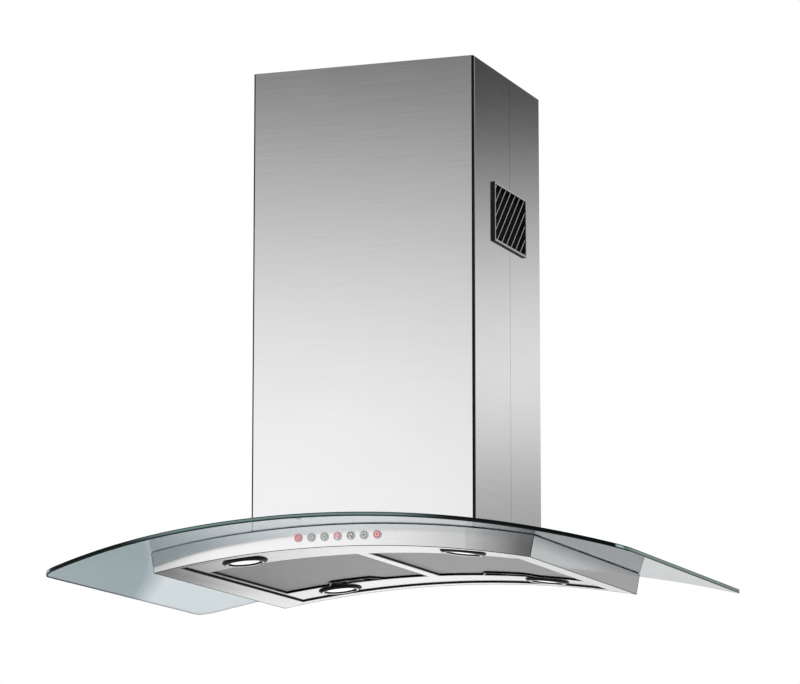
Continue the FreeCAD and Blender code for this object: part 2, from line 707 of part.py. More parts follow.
for side, name in ((-1, "left"), (1, "right")):
    middle = f"({side} * {filter_middle})"
    x0, x1 = f"({middle} - filter_width / 2)", f"({middle} + filter_width / 2)"
    layer = arch_strip(name + "_filter", frame_under, frame_top, x0, x1)
    frame = cut(common(layer, filter_plan(name + "_outer", side, "0")),
                [filter_plan(name + "_inner", side, "filter_border")])
    notch_half = "(notch_base / 2 + cut_over)"
    roof = common(arch_strip(name + "_roof", roof_at, frame_top, f"({middle} - {notch_half})",
                             f"({middle} + {notch_half})"),
                  box(f"{middle} - {notch_half}", f"{middle} + {notch_half}",
                      f"{filter_back} - notch_depth - cut_over", filter_back, low_end, "0"))
    rails = []
    for i in (-1, 1):
        inner = f"({middle} + {i} * (latch_width / 2 + latch_play + rail_thickness / 2))"
        rail_x = (f"({inner} - rail_thickness / 2)", f"({inner} + rail_thickness / 2)")
        rails.append(common(
            arch_strip(name + "_rail", f"({roof_at} - latch_height)", f"({frame_top} - notch_roof / 2)",
                       *rail_x),
            box(*rail_x, f"{filter_back} - latch_depth - tab_thickness", f"{filter_back} - tab_thickness",
                low_end, "0")))
    hooks, hook_under = [], f"({panel_top} + tab_play)"
    for i in (-1, 1):
        hook = f"({middle} + {i} * (filter_width / 2 - 2 * tab_width))"
        hook_x = (f"({hook} - tab_width / 2)", f"({hook} + tab_width / 2)")
        hooks.append(common(
            arch_strip(name + "_hook", hook_under, f"({hook_under} + tab_thickness)", *hook_x),
            box(*hook_x, f"{filter_front} - tab_reach", f"{filter_front} + filter_border / 2",
                low_end, "0")))
    node(f"filter_frame_{name}", fuse([frame, roof] + rails + hooks))
    node(f"filter_mesh_{name}", common(arch_strip(name + "_mesh", mesh_under, mesh_top, x0, x1),
                                       filter_plan(name + "_mesh", side, "filter_border")))

    # the latch slides on the notch's roof; its rounded nose meets the panel behind the filter
    latch = new_body(f"filter_latch_{name}")
    outline = body_sketch(latch, "XY", "0 - latch_height")
    nose = "(latch_width / 3)"
    back_y = "(latch_depth / 2)"
    loop(outline, [
        ("0 - latch_width / 2", f"0 - {back_y}"),
        ("latch_width / 2", f"0 - {back_y}"),
        ("latch_width / 2", back_y),
        (nose, back_y, f"{nose} * nose_bow"),
        (f"0 - {nose}", back_y),
        ("0 - latch_width / 2", back_y),
    ])
    feature(latch, "Pad", outline, "latch_height")
    grip = body_sketch(latch, "XY", "0 - latch_height")
    rectangle(grip, "0 - latch_width / 3", nose, "0 - latch_depth / 4", "latch_depth / 6")
    feature(latch, "Pocket", grip, "latch_height / 2", back=True)
    latch.Placement = FreeCAD.Placement(FreeCAD.Vector(), FreeCAD.Rotation(FreeCAD.Vector(0, 1, 0), 1))
    link(latch, **{".Placement.Rotation.Angle": f"asin({side} * {chord_sine})"})
    reach = f"(arch_radius + {roof_at} - latch_lift)"
    place(latch, f"{reach} * ({side} * {chord_sine})", f"{filter_back} - {nose} / 2 - latch_depth / 2",
          f"{reach} * cos(asin({chord_sine})) - arch_radius - hang_drop")

# ---- lamps -------------------------------------------------------------------------------------------

lamp_sine = f"({lamp_x} / (arch_radius + {panel_under}))"
lamp_reach = f"(arch_radius + {panel_under})"
ring_seat = f"(lamp_ring_radius^2 / 2 / {lamp_reach})"     # how far the flat ring stands off the arch


def lamp_body(label, i, j):
    body = new_body(label)
    body.Placement = FreeCAD.Placement(FreeCAD.Vector(), FreeCAD.Rotation(FreeCAD.Vector(0, 1, 0), 1))
    link(body, **{".Placement.Rotation.Angle": f"asin({i} * {lamp_sine})"})
    return place(body, f"{i} * {lamp_x}", f"{j} * {lamp_y}", arch_z(panel_under, lamp_x))


lens_seat = "(lamp_lens_radius - lens_lap)"
for number, (i, j) in enumerate(lamp_places, 1):
    ring = lamp_body(f"lamp_ring_{number}", i, j)
    profile = body_sketch(ring, "XZ")
    low, seat = f"(0 - lamp_ring_height - {ring_seat})", f"(0 - {ring_seat})"
    lip, lens_under = f"({low} + lens_recess)", f"({low} + lens_recess + lamp_wall)"
    loop(profile, [
        (lens_seat, lip),
        (f"{lens_seat} + lens_recess", low),
        ("lamp_ring_radius - lamp_ring_bevel", low),
        ("lamp_ring_radius", f"{low} + lamp_ring_bevel"),
        ("lamp_ring_radius", seat),
        ("lamp_lens_radius + lens_play", seat),
        ("lamp_lens_radius + lens_play", lens_under),
        (lens_seat, lens_under),
    ])
    turn(ring, profile)
    lens = lamp_body(f"lamp_lens_{number}", i, j)
    profile = body_sketch(lens, "XZ")
    loop(profile, [("0", lens_under), ("lamp_lens_radius", lens_under),
                   ("lamp_lens_radius", f"{lens_under} + lamp_lens_thickness"),
                   ("0", f"{lens_under} + lamp_lens_thickness")])
    turn(lens, profile)

for part in ("holder", "bulb"):
    pieces = []
    for number, (i, j) in enumerate(lamp_places, 1):
        body = lamp_body(f"{part}_{number}", i, j)
        nodes.remove(body)
        profile = body_sketch(body, "XZ")
        if part == "holder":
            inner = "(lamp_can_radius - lamp_wall)"
            loop(profile, [
                (inner, "can_stand"), ("lamp_can_radius", "can_stand"),
                ("lamp_can_radius", "lamp_can_height"), ("0", "lamp_can_height"),
                ("0", "lamp_can_height - lamp_wall"),
                (inner, "lamp_can_height - lamp_wall")])
        else:
            seat = "(lamp_can_height - lamp_wall)"
            tip = f"({seat} - bulb_length)"
            loop(profile, [("0", tip), ("bulb_radius", f"{tip} + bulb_radius"), ("bulb_radius", seat),
                           ("0", seat)])
        turn(body, profile)
        pieces.append(body)
    node(f"lamp_{part}s", compound(pieces))

# ---- buttons and control board -----------------------------------------------------------------------

def button_front(x):
    return front_at(x, overhang)


flange_y = "(band_thickness + body_wall + button_slack)"
stem_back = f"({flange_y} + button_flange + button_stem)"
switch_y = f"({button_front('0')} + {stem_back} + button_travel + switch_gap + board_set)"
rings, switches = [], []
for number, x in enumerate(button_places, 1):
    cap = new_body(f"button_{number}")
    profile = body_sketch(cap, "XY")
    loop(profile, [
        ("0", "0 - button_proud"),
        ("button_radius", "0 - button_proud"),
        ("button_radius", flange_y),
        ("button_radius + button_rim", flange_y),
        ("button_radius + button_rim", f"{flange_y} + button_flange"),
        ("button_stem_radius", f"{flange_y} + button_flange"),
        ("button_stem_radius", stem_back),
        ("0", stem_back),
    ])
    turn(cap, profile)
    place(cap, x, button_front(x), button_z)
    ring_y = button_front(x) + " - ring_thickness"
    ring = cut(cylinder("ring_radius", "ring_thickness + ring_sink", x, ring_y, button_z, "Y"),
               [cylinder("button_radius + button_play", "ring_thickness * 3", x, ring_y + " - ring_thickness",
                         button_z, "Y")])
    rings.append(ring)
    switches.append(box(f"{x} - switch_side / 2", f"{x} + switch_side / 2",
                        f"{switch_y}", f"{switch_y} + switch_depth",
                        f"{button_z} - switch_side / 2", f"{button_z} + switch_side / 2"))
node("button_rings", compound(rings))

board_half = "((button_count - 1) / 2 * button_pitch + board_margin)"
board_y = f"({switch_y} + switch_depth)"
board_x0, board_x1 = f"(button_offset - {board_half})", f"(button_offset + {board_half})"
board_z0, board_z1 = f"({button_z} - board_height / 2)", f"({button_z} + board_height / 2)"
node("control_board", fuse(
    [box(board_x0, board_x1, board_y, f"{board_y} + board_thickness", board_z0, board_z1)] + switches))
tray_back = f"({board_y} + board_thickness + board_ledge + tray_wall)"
tray_front = f"({button_front(board_x1)} + band_thickness + body_wall + board_play)"
tray = cut(
    box(f"{board_x0} - tray_wall - board_play", f"{board_x1} + tray_wall + board_play", tray_front, tray_back,
        f"{board_z0} - tray_wall - board_play", f"{board_z1} + tray_wall + board_play"),
    [box(f"{board_x0} - board_play", f"{board_x1} + board_play", f"{tray_front} - cut_over",
         f"{tray_back} - tray_wall", f"{board_z0} - board_play", f"{board_z1} + board_play")])
ledges = [box(f"{x} - board_ledge", f"{x} + board_ledge", f"{board_y} + board_thickness", tray_back,
              board_z0, board_z1)
          for x in (f"({board_x0} + board_ledge)", f"({board_x1} - board_ledge)")]
node("control_tray", fuse([tray] + ledges))

# ---- hanging frame -----------------------------------------------------------------------------------

base_z = "(base_above - hang_drop)"
base_top = f"({base_z} + base_sheet)"
angle_x = "(chimney_width / 2 - chimney_wall - angle_inset)"
angle_y = "(chimney_depth / 2 - chimney_wall - angle_inset)"
bolt_places = [(f"({i} * bolt_spacing_x / 2)", f"({j} * bolt_spacing_y / 2)")
               for j in (-1, 1) for i in (-1, 1)]

bracket = new_body("ceiling_bracket")
outline = body_sketch(bracket, "XY", "0 - bracket_sheet")
rectangle(outline, "0 - bracket_width / 2", "bracket_width / 2", "0 - bracket_depth / 2", "bracket_depth / 2")
rectangle(outline, "0 - bracket_open_width / 2", "bracket_open_width / 2",
          "0 - bracket_open_depth / 2", "bracket_open_depth / 2")
for x, y in bolt_places:
    circle(outline, x, y, "bolt_hole")
feature(bracket, "Pad", outline, "bracket_sheet")

plate = cut(
    box(f"0 - {angle_x}", angle_x, f"0 - {angle_y}", angle_y, base_z, base_top),
    [box("0 - base_open_width / 2", "base_open_width / 2", "0 - base_open_depth / 2", "base_open_depth / 2",
         f"{base_z} - cut_over", f"{base_top} + cut_over")]
    + [prism(8, "stud_radius + hole_play", "base_sheet * 3", x, y, f"{base_z} - base_sheet")
       for x, y in stud_places])
node("base_plate", plate)

uprights = []
for i, j in lamp_places:
    angle = doc.addObject("PartDesign::Body", "angle")
    outline = body_sketch(angle, "XY")
    x, y = f"({i} * {angle_x})", f"({j} * {angle_y})"
    dx, dy = (lambda amount: f"({x} - {i} * {amount})"), (lambda amount: f"({y} - {j} * {amount})")
    corners = [(x, y), (dx("angle_side"), y), (dx("angle_side"), dy("angle_sheet")),
               (dx("angle_sheet"), dy("angle_sheet")), (dx("angle_sheet"), dy("angle_side")),
               (x, dy("angle_side"))]
    loop(outline, corners if i * j > 0 else corners[::-1])
    feature(angle, "Pad", outline, f"0 - bracket_sheet - {base_top}")
    uprights.append(place(angle, "0", "0", base_top))
node("frame_uprights", compound(uprights))

bush_height = f"{base_z} - {arch_z(glass_top, 'stud_x + bush_radius')}"
glass_cylinder = cylinder("arch_radius + glass_thickness", "glass_depth", "0", "0 - glass_depth / 2",
                          "0 - arch_radius - hang_drop", "Y")
bushes, studs = [], []
for x, y in stud_places:
    bushes.append(cut(
        prism(8, "bush_radius", bush_height, x, y, arch_z(glass_top, "stud_x + bush_radius")),
        [prism(8, "stud_radius + hole_play", tall, x, y, low_end), glass_cylinder]))
    head_z = f"({arch_z(roof_under, 'stud_x + stud_head')} - stud_head_height)"
    studs.append(fuse([
        prism(6, "stud_head", "stud_head_height", x, y, head_z),
        prism(8, "stud_radius", f"{base_top} + stud_head_height * 2 - {head_z}", x, y, head_z),
        prism(6, "stud_head", "stud_head_height", x, y, base_top)]))
node("glass_bushes", compound(bushes))
node("glass_studs", compound(studs))

sleeve_x, sleeve_y = "(base_open_width / 2 - sleeve_gap)", "(base_open_depth / 2 - sleeve_gap)"
sleeve_low = arch_z(f"({roof_under} - sleeve_reach)", sleeve_x)
node("inlet_sleeve", cut(
    box(f"0 - {sleeve_x}", sleeve_x, f"0 - {sleeve_y}", sleeve_y, sleeve_low,
        f"{base_top} + sleeve_rise"),
    [box(f"0 - {sleeve_x} + sleeve_wall", f"{sleeve_x} - sleeve_wall", f"0 - {sleeve_y} + sleeve_wall",
         f"{sleeve_y} - sleeve_wall", f"{sleeve_low} - cut_over", f"{base_top} + sleeve_rise + cut_over")]))

# ---- blower ------------------------------------------------------------------------------------------

box_top = f"({base_top} + box_height)"
fan_z = "(fan_above - hang_drop)"
lid_under = f"({box_top} - box_wall)"
blower_tube = cut(
    box("0 - box_width / 2", "box_width / 2", "0 - box_depth / 2", "box_depth / 2", base_top, lid_under),
    [box("0 - box_width / 2 + box_wall", "box_width / 2 - box_wall", "0 - box_depth / 2 + box_wall",
         "box_depth / 2 - box_wall", f"{base_top} - cut_over", box_top)])
node("blower_box", blower_tube)
node("blower_lid", cut(
    box("0 - box_width / 2", "box_width / 2", "0 - box_depth / 2", "box_depth / 2", lid_under, box_top),
    [cylinder("collar_radius - collar_wall - flap_seat", "box_wall * 4", "0", "outlet_y",
              f"{box_top} - 2 * box_wall")]))


def scroll_outline(sketch, grow):
    """Quarter arcs that step outward round the fan, then the straight outlet up to the box's top."""
    small, middle, large = [f"(scroll_start + {k} * scroll_step + {grow})" for k in range(3)]
    throat = f"(fan_y - {large} + scroll_outlet + 2 * {grow})"
    top = f"({box_top} - box_wall)"
    crest = f"({fan_z} - {large} + {middle} + {small})"
    loop(sketch, [
        (f"fan_y - {large}", top),
        (f"fan_y - {large}", fan_z, large),
        ("fan_y", f"{fan_z} - {large}", middle),
        (f"fan_y + {middle}", f"{fan_z} - {large} + {middle}", small),
        (f"fan_y + {middle} - {small}", crest),
        (throat, f"{crest} + scroll_lip"),
        (throat, top),
    ])


scroll = new_body("blower_scroll")
outline = body_sketch(scroll, "YZ")
scroll_outline(outline, "scroll_wall")
feature(scroll, "Pad", outline, "scroll_width", both=True)
hollow = body_sketch(scroll, "YZ")
scroll_outline(hollow, "0")
feature(scroll, "Pocket", hollow, "scroll_width - 2 * scroll_wall", both=True)
inlets = body_sketch(scroll, "YZ")
circle(inlets, "fan_y", fan_z, "inlet_radius")
feature(scroll, "Pocket", inlets, "scroll_width * 2", both=True)

fan = new_body("impeller")
disc = body_sketch(fan, "YZ")
circle(disc, "0", "0", "fan_radius")
circle(disc, "0", "0", "shaft_radius")
feature(fan, "Pad", disc, "fan_disc", both=True)
hub = body_sketch(fan, "YZ")
circle(hub, "0", "0", "hub_radius")
circle(hub, "0", "0", "shaft_radius")
feature(fan, "Pad", hub, "hub_length")
for end in (-1, 1):
    rim = body_sketch(fan, "YZ", f"{end} * (fan_width / 2 - fan_disc / 2) - fan_disc / 2")
    circle(rim, "0", "0", "fan_radius")
    circle(rim, "0", "0", "fan_radius - blade_chord")
    feature(fan, "Pad", rim, "fan_disc")
blade = body_sketch(fan, "YZ")
inner_r = "(fan_radius - blade_chord + blade_set)"
outer_r = "(fan_radius - blade_tip)"
loop(blade, [
    ("0", inner_r, "blade_curve"),
    ("blade_chord / 4", outer_r),
    ("blade_chord / 4 - blade_thickness", outer_r, "blade_curve", True),
    ("0 - blade_thickness", inner_r),
])
blades = feature(fan, "Pad", blade, "fan_width - fan_disc", both=True)
ring_copies(fan, blades, "fan_blades")
place(fan, "0", "fan_y", fan_z)

motor_face = "(0 - scroll_width / 2 + scroll_wall)"
motor = new_body("motor")
can = body_sketch(motor, "YZ", f"{motor_face} + arm_sheet")
circle(can, "fan_y", fan_z, "motor_radius")
circle(can, "fan_y", fan_z, "shaft_radius + shaft_play")
feature(motor, "Pad", can, "motor_length")
step = body_sketch(motor, "YZ", f"{motor_face} + arm_sheet + motor_length")
circle(step, "fan_y", fan_z, "boss_radius")
circle(step, "fan_y", fan_z, "shaft_radius + shaft_play")
feature(motor, "Pad", step, "boss_length")

shaft = new_body("motor_shaft")
rod = body_sketch(shaft, "YZ", motor_face)
circle(rod, "0", "0", "shaft_radius")
feature(shaft, "Pad", rod, f"0 - {motor_face} + hub_length")
place(shaft, "0", "fan_y", fan_z)

arms = []
for angle in (90, 210, 330):
    arm = box("0", "arm_sheet", "0 - arm_width / 2", "arm_width / 2", "arm_start", "inlet_radius + arm_lap")
    arm.Placement.Rotation = FreeCAD.Rotation(FreeCAD.Vector(1, 0, 0), angle - 90)
    turn_x = math.radians(angle - 90)
    place(arm, "0", f"0 - (arm_width / 2) * {math.cos(turn_x)} - arm_start * {math.sin(turn_x)}",
          f"(0 - arm_width / 2) * {math.sin(turn_x)} + arm_start * {math.cos(turn_x)}")
    arms.append(arm)
spider = cut(fuse(arms + [cylinder("spider_radius", "arm_sheet", "0", "0", "0", "X")]),
             [cylinder("shaft_radius + shaft_clear", "arm_sheet * 3", "0 - arm_sheet", "0", "0", "X")])
place(spider, f"{motor_face}", "fan_y", fan_z)
node("motor_bracket", spider)

# ---- outlet ------------------------------------------------------------------------------------------

collar_z = box_top
inside = "(collar_radius - collar_wall)"
collar = new_body("outlet_collar")
profile = body_sketch(collar, "XZ")
seat_top = "(flap_above - flap_sheet / 2 - flap_rest)"
loop(profile, [
    (f"{inside} - flap_seat", "0"),
    ("collar_flange", "0"),
    ("collar_flange", "collar_flange_height"),
    ("collar_radius", "collar_flange_height"),
    ("collar_radius", "collar_height"),
    (inside, "collar_height"),
    (inside, seat_top),
    (f"{inside} - flap_seat", seat_top),
])
turn(collar, profile)
bore = body_sketch(collar, "YZ")
circle(bore, "0", "flap_above", "pin_radius")
feature(collar, "Pocket", bore, "collar_radius * 3", both=True)
place(collar, "0", "outlet_y", collar_z)

pin = new_body("flap_pin")
rod = body_sketch(pin, "YZ")
circle(rod, "0", "flap_above", "pin_radius")
feature(pin, "Pad", rod, "2 * (collar_radius - pin_short)", both=True)
place(pin, "0", "outlet_y", collar_z)

flap_radius = f"({inside} - flap_play)"
knuckle_radius = "(pin_radius + pin_play + knuckle_wall)"
sheet_z = "(flap_above - flap_sheet / 2)"
for side, name in ((-1, "front"), (1, "back")):
    flap = new_body(f"flap_{name}")
    half = body_sketch(flap, "XY", sheet_z)
    edge_y = f"({side} * ({knuckle_radius} + knuckle_clear))"
    end_x_at = f"sqrt({flap_radius}^2 - ({edge_y})^2)"
    corners = [(f"0 - {end_x_at}", edge_y), (end_x_at, edge_y)]
    if side > 0:
        loop(half, [corners[0], corners[1] + (flap_radius,)])
    else:
        loop(half, [corners[1], corners[0] + (flap_radius,)])
    feature(flap, "Pad", half, "flap_sheet")
    span = f"(2 * {flap_radius} / 5)"
    for k in ((0, 2, 4) if side < 0 else (1, 3)):
        start = f"(0 - {flap_radius} + {k} * {span} + knuckle_gap + {int(k == 0)} * knuckle_end)"
        length = f"({span} - 2 * knuckle_gap - {int(k in (0, 4))} * knuckle_end)"
        web = body_sketch(flap, "XY", sheet_z)
        inner_y, outer_y = ("0", f"{edge_y} + knuckle_lap") if side > 0 else (f"{edge_y} - knuckle_lap", "0")
        rectangle(web, start, f"{start} + {length}", inner_y, outer_y)
        feature(flap, "Pad", web, "flap_sheet")
        knuckle = body_sketch(flap, "YZ", start)
        circle(knuckle, "0", "flap_above", knuckle_radius)
        feature(flap, "Pad", knuckle, length)
    clear = body_sketch(flap, "YZ", f"0 - {flap_radius}")
    circle(clear, "0", "flap_above", "pin_radius + pin_play")
    feature(flap, "Pocket", clear, f"{flap_radius} * 2", back=True)
    place(flap, "0", "outlet_y", collar_z)

screws = []
screw_ring = "((collar_radius + collar_flange) / 2)"
for i, j in lamp_places:
    x, y = f"({i} * {screw_ring} / sqrt(2))", f"(outlet_y + {j} * {screw_ring} / sqrt(2))"
    flange_top = f"({collar_z} + collar_flange_height)"
    screws.append(fuse([prism(6, "screw_head", "screw_head_height", x, y, flange_top),
                        prism(6, "screw_radius", "screw_length", x, y, f"{flange_top} - screw_length")]))
node("collar_screws", compound(screws))

# ---- terminal box ------------------------------------------------------------------------------------

terminal_y0, terminal_y1 = "(terminal_y - terminal_depth / 2)", "(terminal_y + terminal_depth / 2)"
terminal_top = f"({box_top} + terminal_height)"
node("terminal_box", cut(
    box("0 - terminal_width / 2", "terminal_width / 2", terminal_y0, terminal_y1, box_top, terminal_top),
    [box("0 - terminal_width / 2 + terminal_wall", "terminal_width / 2 - terminal_wall",
         f"{terminal_y0} + terminal_wall", f"{terminal_y1} - terminal_wall", f"{box_top} + terminal_wall",
         f"{terminal_top} - terminal_wall"),
     cylinder("gland_bore", "terminal_wall * 3", "terminal_width / 4", "terminal_y",
              f"{terminal_top} - 2 * terminal_wall")]))
gland = new_body("cable_gland")
profile = body_sketch(gland, "XZ")
loop(profile, [("gland_bore", "0"), ("gland_radius", "0"), ("gland_radius", "gland_height / 2"),
               ("gland_tip", "gland_height"), ("gland_bore", "gland_height")])
turn(gland, profile)
place(gland, "terminal_width / 4", "terminal_y", terminal_top)

# ---- chimney -----------------------------------------------------------------------------------------

foot = cylinder(f"arch_radius + glass_thickness + foot_gap", "glass_depth", "0", "0 - glass_depth / 2",
                "0 - arch_radius - hang_drop", "Y")
chimney_low, chimney_top = "(0 - hang_drop - foot_depth)", "(0 - top_gap)"
cx, cy = "(chimney_width / 2)", "(chimney_depth / 2)"
vent_y0, vent_y1 = "(vent_middle - vent_length / 2)", "(vent_middle + vent_length / 2)"
vent_z0 = "(vent_above - vent_height / 2 - hang_drop)"
vent_z1 = "(vent_above + vent_height / 2 - hang_drop)"
vent_hole = box(f"0 - {cx} - cut_over", f"{cx} + cut_over", f"{vent_y0} + vent_overlap",
                f"{vent_y1} - vent_overlap", f"{vent_z0} + vent_overlap", f"{vent_z1} - vent_overlap")


def chimney_tube(inset):
    return box(f"0 - {cx} + {inset}", f"{cx} - {inset}", f"0 - {cy} + {inset}", f"{cy} - {inset}",
               chimney_low, chimney_top)


outer_tube = rounded_edges(chimney_tube("0"), "chimney_fold", upright)
wide_x, wide_y = f"({cx} + cut_over)", f"({cy} + cut_over)"
front_half = box(f"0 - {wide_x}", wide_x, f"0 - {wide_y}", "chimney_seam", chimney_low, "0")
back_half = box(f"0 - {wide_x}", wide_x, "chimney_seam + seam_gap", wide_y, chimney_low, "0")
front_shell = cut(common(outer_tube, front_half), [chimney_tube("chimney_wall"), foot, vent_hole])
node("chimney_front", front_shell)
back_shell = cut(common(outer_tube, back_half), [chimney_tube("chimney_wall"), foot, vent_hole])
laps = []
for side in (-1, 1):
    outer = f"({side} * ({cx} - chimney_wall - lap_play))"
    inner = f"({side} * ({cx} - 2 * chimney_wall - lap_play))"
    edge = f"({side} * ({cx} - chimney_wall / 2))"
    x0, x1 = (inner, outer) if side > 0 else (outer, inner)
    e0, e1 = (inner, edge) if side > 0 else (edge, inner)
    laps.append(box(x0, x1, "chimney_seam - seam_lap", "chimney_seam + seam_hold", chimney_low, chimney_top))
    laps.append(box(e0, e1, "chimney_seam + seam_gap + seam_step", "chimney_seam + seam_hold",
                    chimney_low, chimney_top))
node("chimney_back", fuse([back_shell, cut(fuse(laps), [foot, vent_hole])]))

foot_ring = cut(outer_tube, [chimney_tube("chimney_wall * 2")])
node("chimney_foot_strip", cut(common(foot_ring, foot), [glass_cylinder]))

strip_front = f"(0 - {cy} - strip_depth)"
strip = cut(
    box(f"0 - {cx}", cx, strip_front, f"0 - {cy}", chimney_low, chimney_top),
    [box(f"0 - {cx} + strip_width", f"{cx} - strip_width", f"{strip_front} - cut_over",
         f"0 - {cy} + cut_over", f"0 - hang_drop + glass_thickness + strip_width",
         f"{chimney_top} - strip_width"), foot])
node("panel_strip", strip)
node("front_panel", cut(
    box("0 - panel_width / 2", "panel_width / 2", f"{strip_front} - panel_sheet", strip_front,
        chimney_low, chimney_top), [foot]))

# side vents: a proud frame whose collar enters the sheet, and bars that rise towards the back
for side, name in ((-1, "left"), (1, "right")):
    vent = new_body(f"vent_grille_{name}")
    face = "chimney_width / 2"
    outline = body_sketch(vent, "YZ")
    rectangle(outline, "0 - vent_length / 2", "vent_length / 2", "0 - vent_height / 2", "vent_height / 2")
    feature(vent, "Pad", outline, "vent_proud")
    collar_outline = body_sketch(vent, "YZ")
    inner_y = "(vent_length / 2 - vent_overlap - vent_play)"
    inner_z = "(vent_height / 2 - vent_overlap - vent_play)"
    rectangle(collar_outline, f"0 - {inner_y}", inner_y, f"0 - {inner_z}", inner_z)
    feature(vent, "Pad", collar_outline, "vent_collar", back=True)
    window = body_sketch(vent, "YZ")
    half_y, half_z = "(vent_length / 2 - vent_border)", "(vent_height / 2 - vent_border)"
    rectangle(window, f"0 - {half_y}", half_y, f"0 - {half_z}", half_z)
    feature(vent, "Pocket", window, "(vent_proud + vent_collar) * 3", both=True)
    # the bars lean at 45 degrees and run past the window, then the frame's outline trims them
    bars = body_sketch(vent, "YZ")
    step_y = "(vent_pitch * sqrt(2))"
    bar_y = "(vent_bar * sqrt(2))"
    low_z, high_z = f"(0 - {half_z} - vent_overlap / 2)", f"({half_z} + vent_overlap / 2)"
    rise = f"(2 * {half_z} + vent_overlap)"
    count = int((val("vent_length") + val("vent_height")) / val(step_y)) + 1
    for k in range(count):
        low_y = f"(0 - {half_y} - 2 * {half_z} + {k} * {step_y} + {step_y} / 3)"
        start, stop = val(low_y), val(low_y) + val(bar_y)
        if start > val(half_y) or stop + val(rise) < -val(half_y):
            continue
        loop(bars, [(low_y, low_z), (f"{low_y} + {bar_y}", low_z), (f"{low_y} + {bar_y} + {rise}", high_z),
                    (f"{low_y} + {rise}", high_z)])
    feature(vent, "Pad", bars, "vent_bar_depth")
    rest = body_sketch(vent, "YZ")
    rectangle(rest, "0 - vent_length * 1.5", "vent_length * 1.5", "0 - vent_height", "vent_height")
    rectangle(rest, "0 - vent_length / 2", "vent_length / 2", "0 - vent_height / 2", "vent_height / 2")
    feature(vent, "Pocket", rest, "(vent_proud + vent_collar) * 3", both=True)
    if side < 0:
        vent.Placement = FreeCAD.Placement(FreeCAD.Vector(), FreeCAD.Rotation(FreeCAD.Vector(0, 0, 1), 180))
    place(vent, f"{side} * {face}", "vent_middle", "vent_above - hang_drop")

# ---- finish ------------------------------------------------------------------------------------------

doc.recompute()
for thing in doc.Objects:
    if "Invalid" in thing.State or "Error" in thing.State:
        raise RuntimeError(f"{thing.Name} ({thing.Label}) failed")
os.makedirs("parts", exist_ok=True)
for thing in nodes:
    shape = thing.Shape
    if shape.isNull() or not shape.isValid():
        raise RuntimeError(f"{thing.Label} has no valid shape")
    shape.exportStep(f"parts/{thing.Label}.step")
    print(f"{thing.Label}: {len(shape.Solids)} solids, {shape.Volume / 1000:.1f} cm3")
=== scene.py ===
import json
import math

import bmesh
import bpy
from mathutils import Matrix, Vector


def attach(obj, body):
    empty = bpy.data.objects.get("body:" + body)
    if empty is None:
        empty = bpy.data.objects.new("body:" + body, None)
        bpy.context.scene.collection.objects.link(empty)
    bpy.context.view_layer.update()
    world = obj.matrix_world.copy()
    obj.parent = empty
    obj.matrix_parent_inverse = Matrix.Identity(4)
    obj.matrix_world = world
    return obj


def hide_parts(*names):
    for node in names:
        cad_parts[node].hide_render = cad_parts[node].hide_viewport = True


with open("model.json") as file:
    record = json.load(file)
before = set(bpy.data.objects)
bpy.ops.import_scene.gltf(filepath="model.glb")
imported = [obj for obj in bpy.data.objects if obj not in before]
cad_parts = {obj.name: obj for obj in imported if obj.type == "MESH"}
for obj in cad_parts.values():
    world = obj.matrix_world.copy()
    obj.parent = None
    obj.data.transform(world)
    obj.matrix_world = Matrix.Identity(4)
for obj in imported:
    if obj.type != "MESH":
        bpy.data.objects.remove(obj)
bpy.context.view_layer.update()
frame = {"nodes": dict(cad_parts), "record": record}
nodes = frame["nodes"]
print("frame loaded:", len(nodes), "nodes")

# lengths are in metres, and in millimetres in the lamps' profiles and the buttons' signs
# the glass and every layer of the body follow one arch about a Y axis under the hood
arch = {"radius": 1.680, "crown": -0.706, "glass": 0.006}


def archHeight(x, offset=0.0):
    return math.sqrt((arch["radius"] + offset) ** 2 - x * x) - arch["radius"] + arch["crown"]


class Wire:
    # a socket, with arithmetic that adds Math nodes
    def __init__(self, finish, socket):
        self.finish = finish
        self.socket = socket

    def math(self, operation, *others, clamp=False):
        values = {i + 1: other for i, other in enumerate(others)}
        settings = {"operation": operation, "use_clamp": clamp}
        return self.finish.node("ShaderNodeMath", settings, {0: self, **values})

    def reflected(self, operation, other):
        return self.finish.node("ShaderNodeMath", {"operation": operation}, {0: other, 1: self})

    def __add__(self, other):
        return self.math("ADD", other)

    def __radd__(self, other):
        return self.math("ADD", other)

    def __sub__(self, other):
        return self.math("SUBTRACT", other)

    def __rsub__(self, other):
        return self.reflected("SUBTRACT", other)

    def __mul__(self, other):
        return self.math("MULTIPLY", other)

    def __rmul__(self, other):
        return self.math("MULTIPLY", other)

    def __truediv__(self, other):
        return self.math("DIVIDE", other)


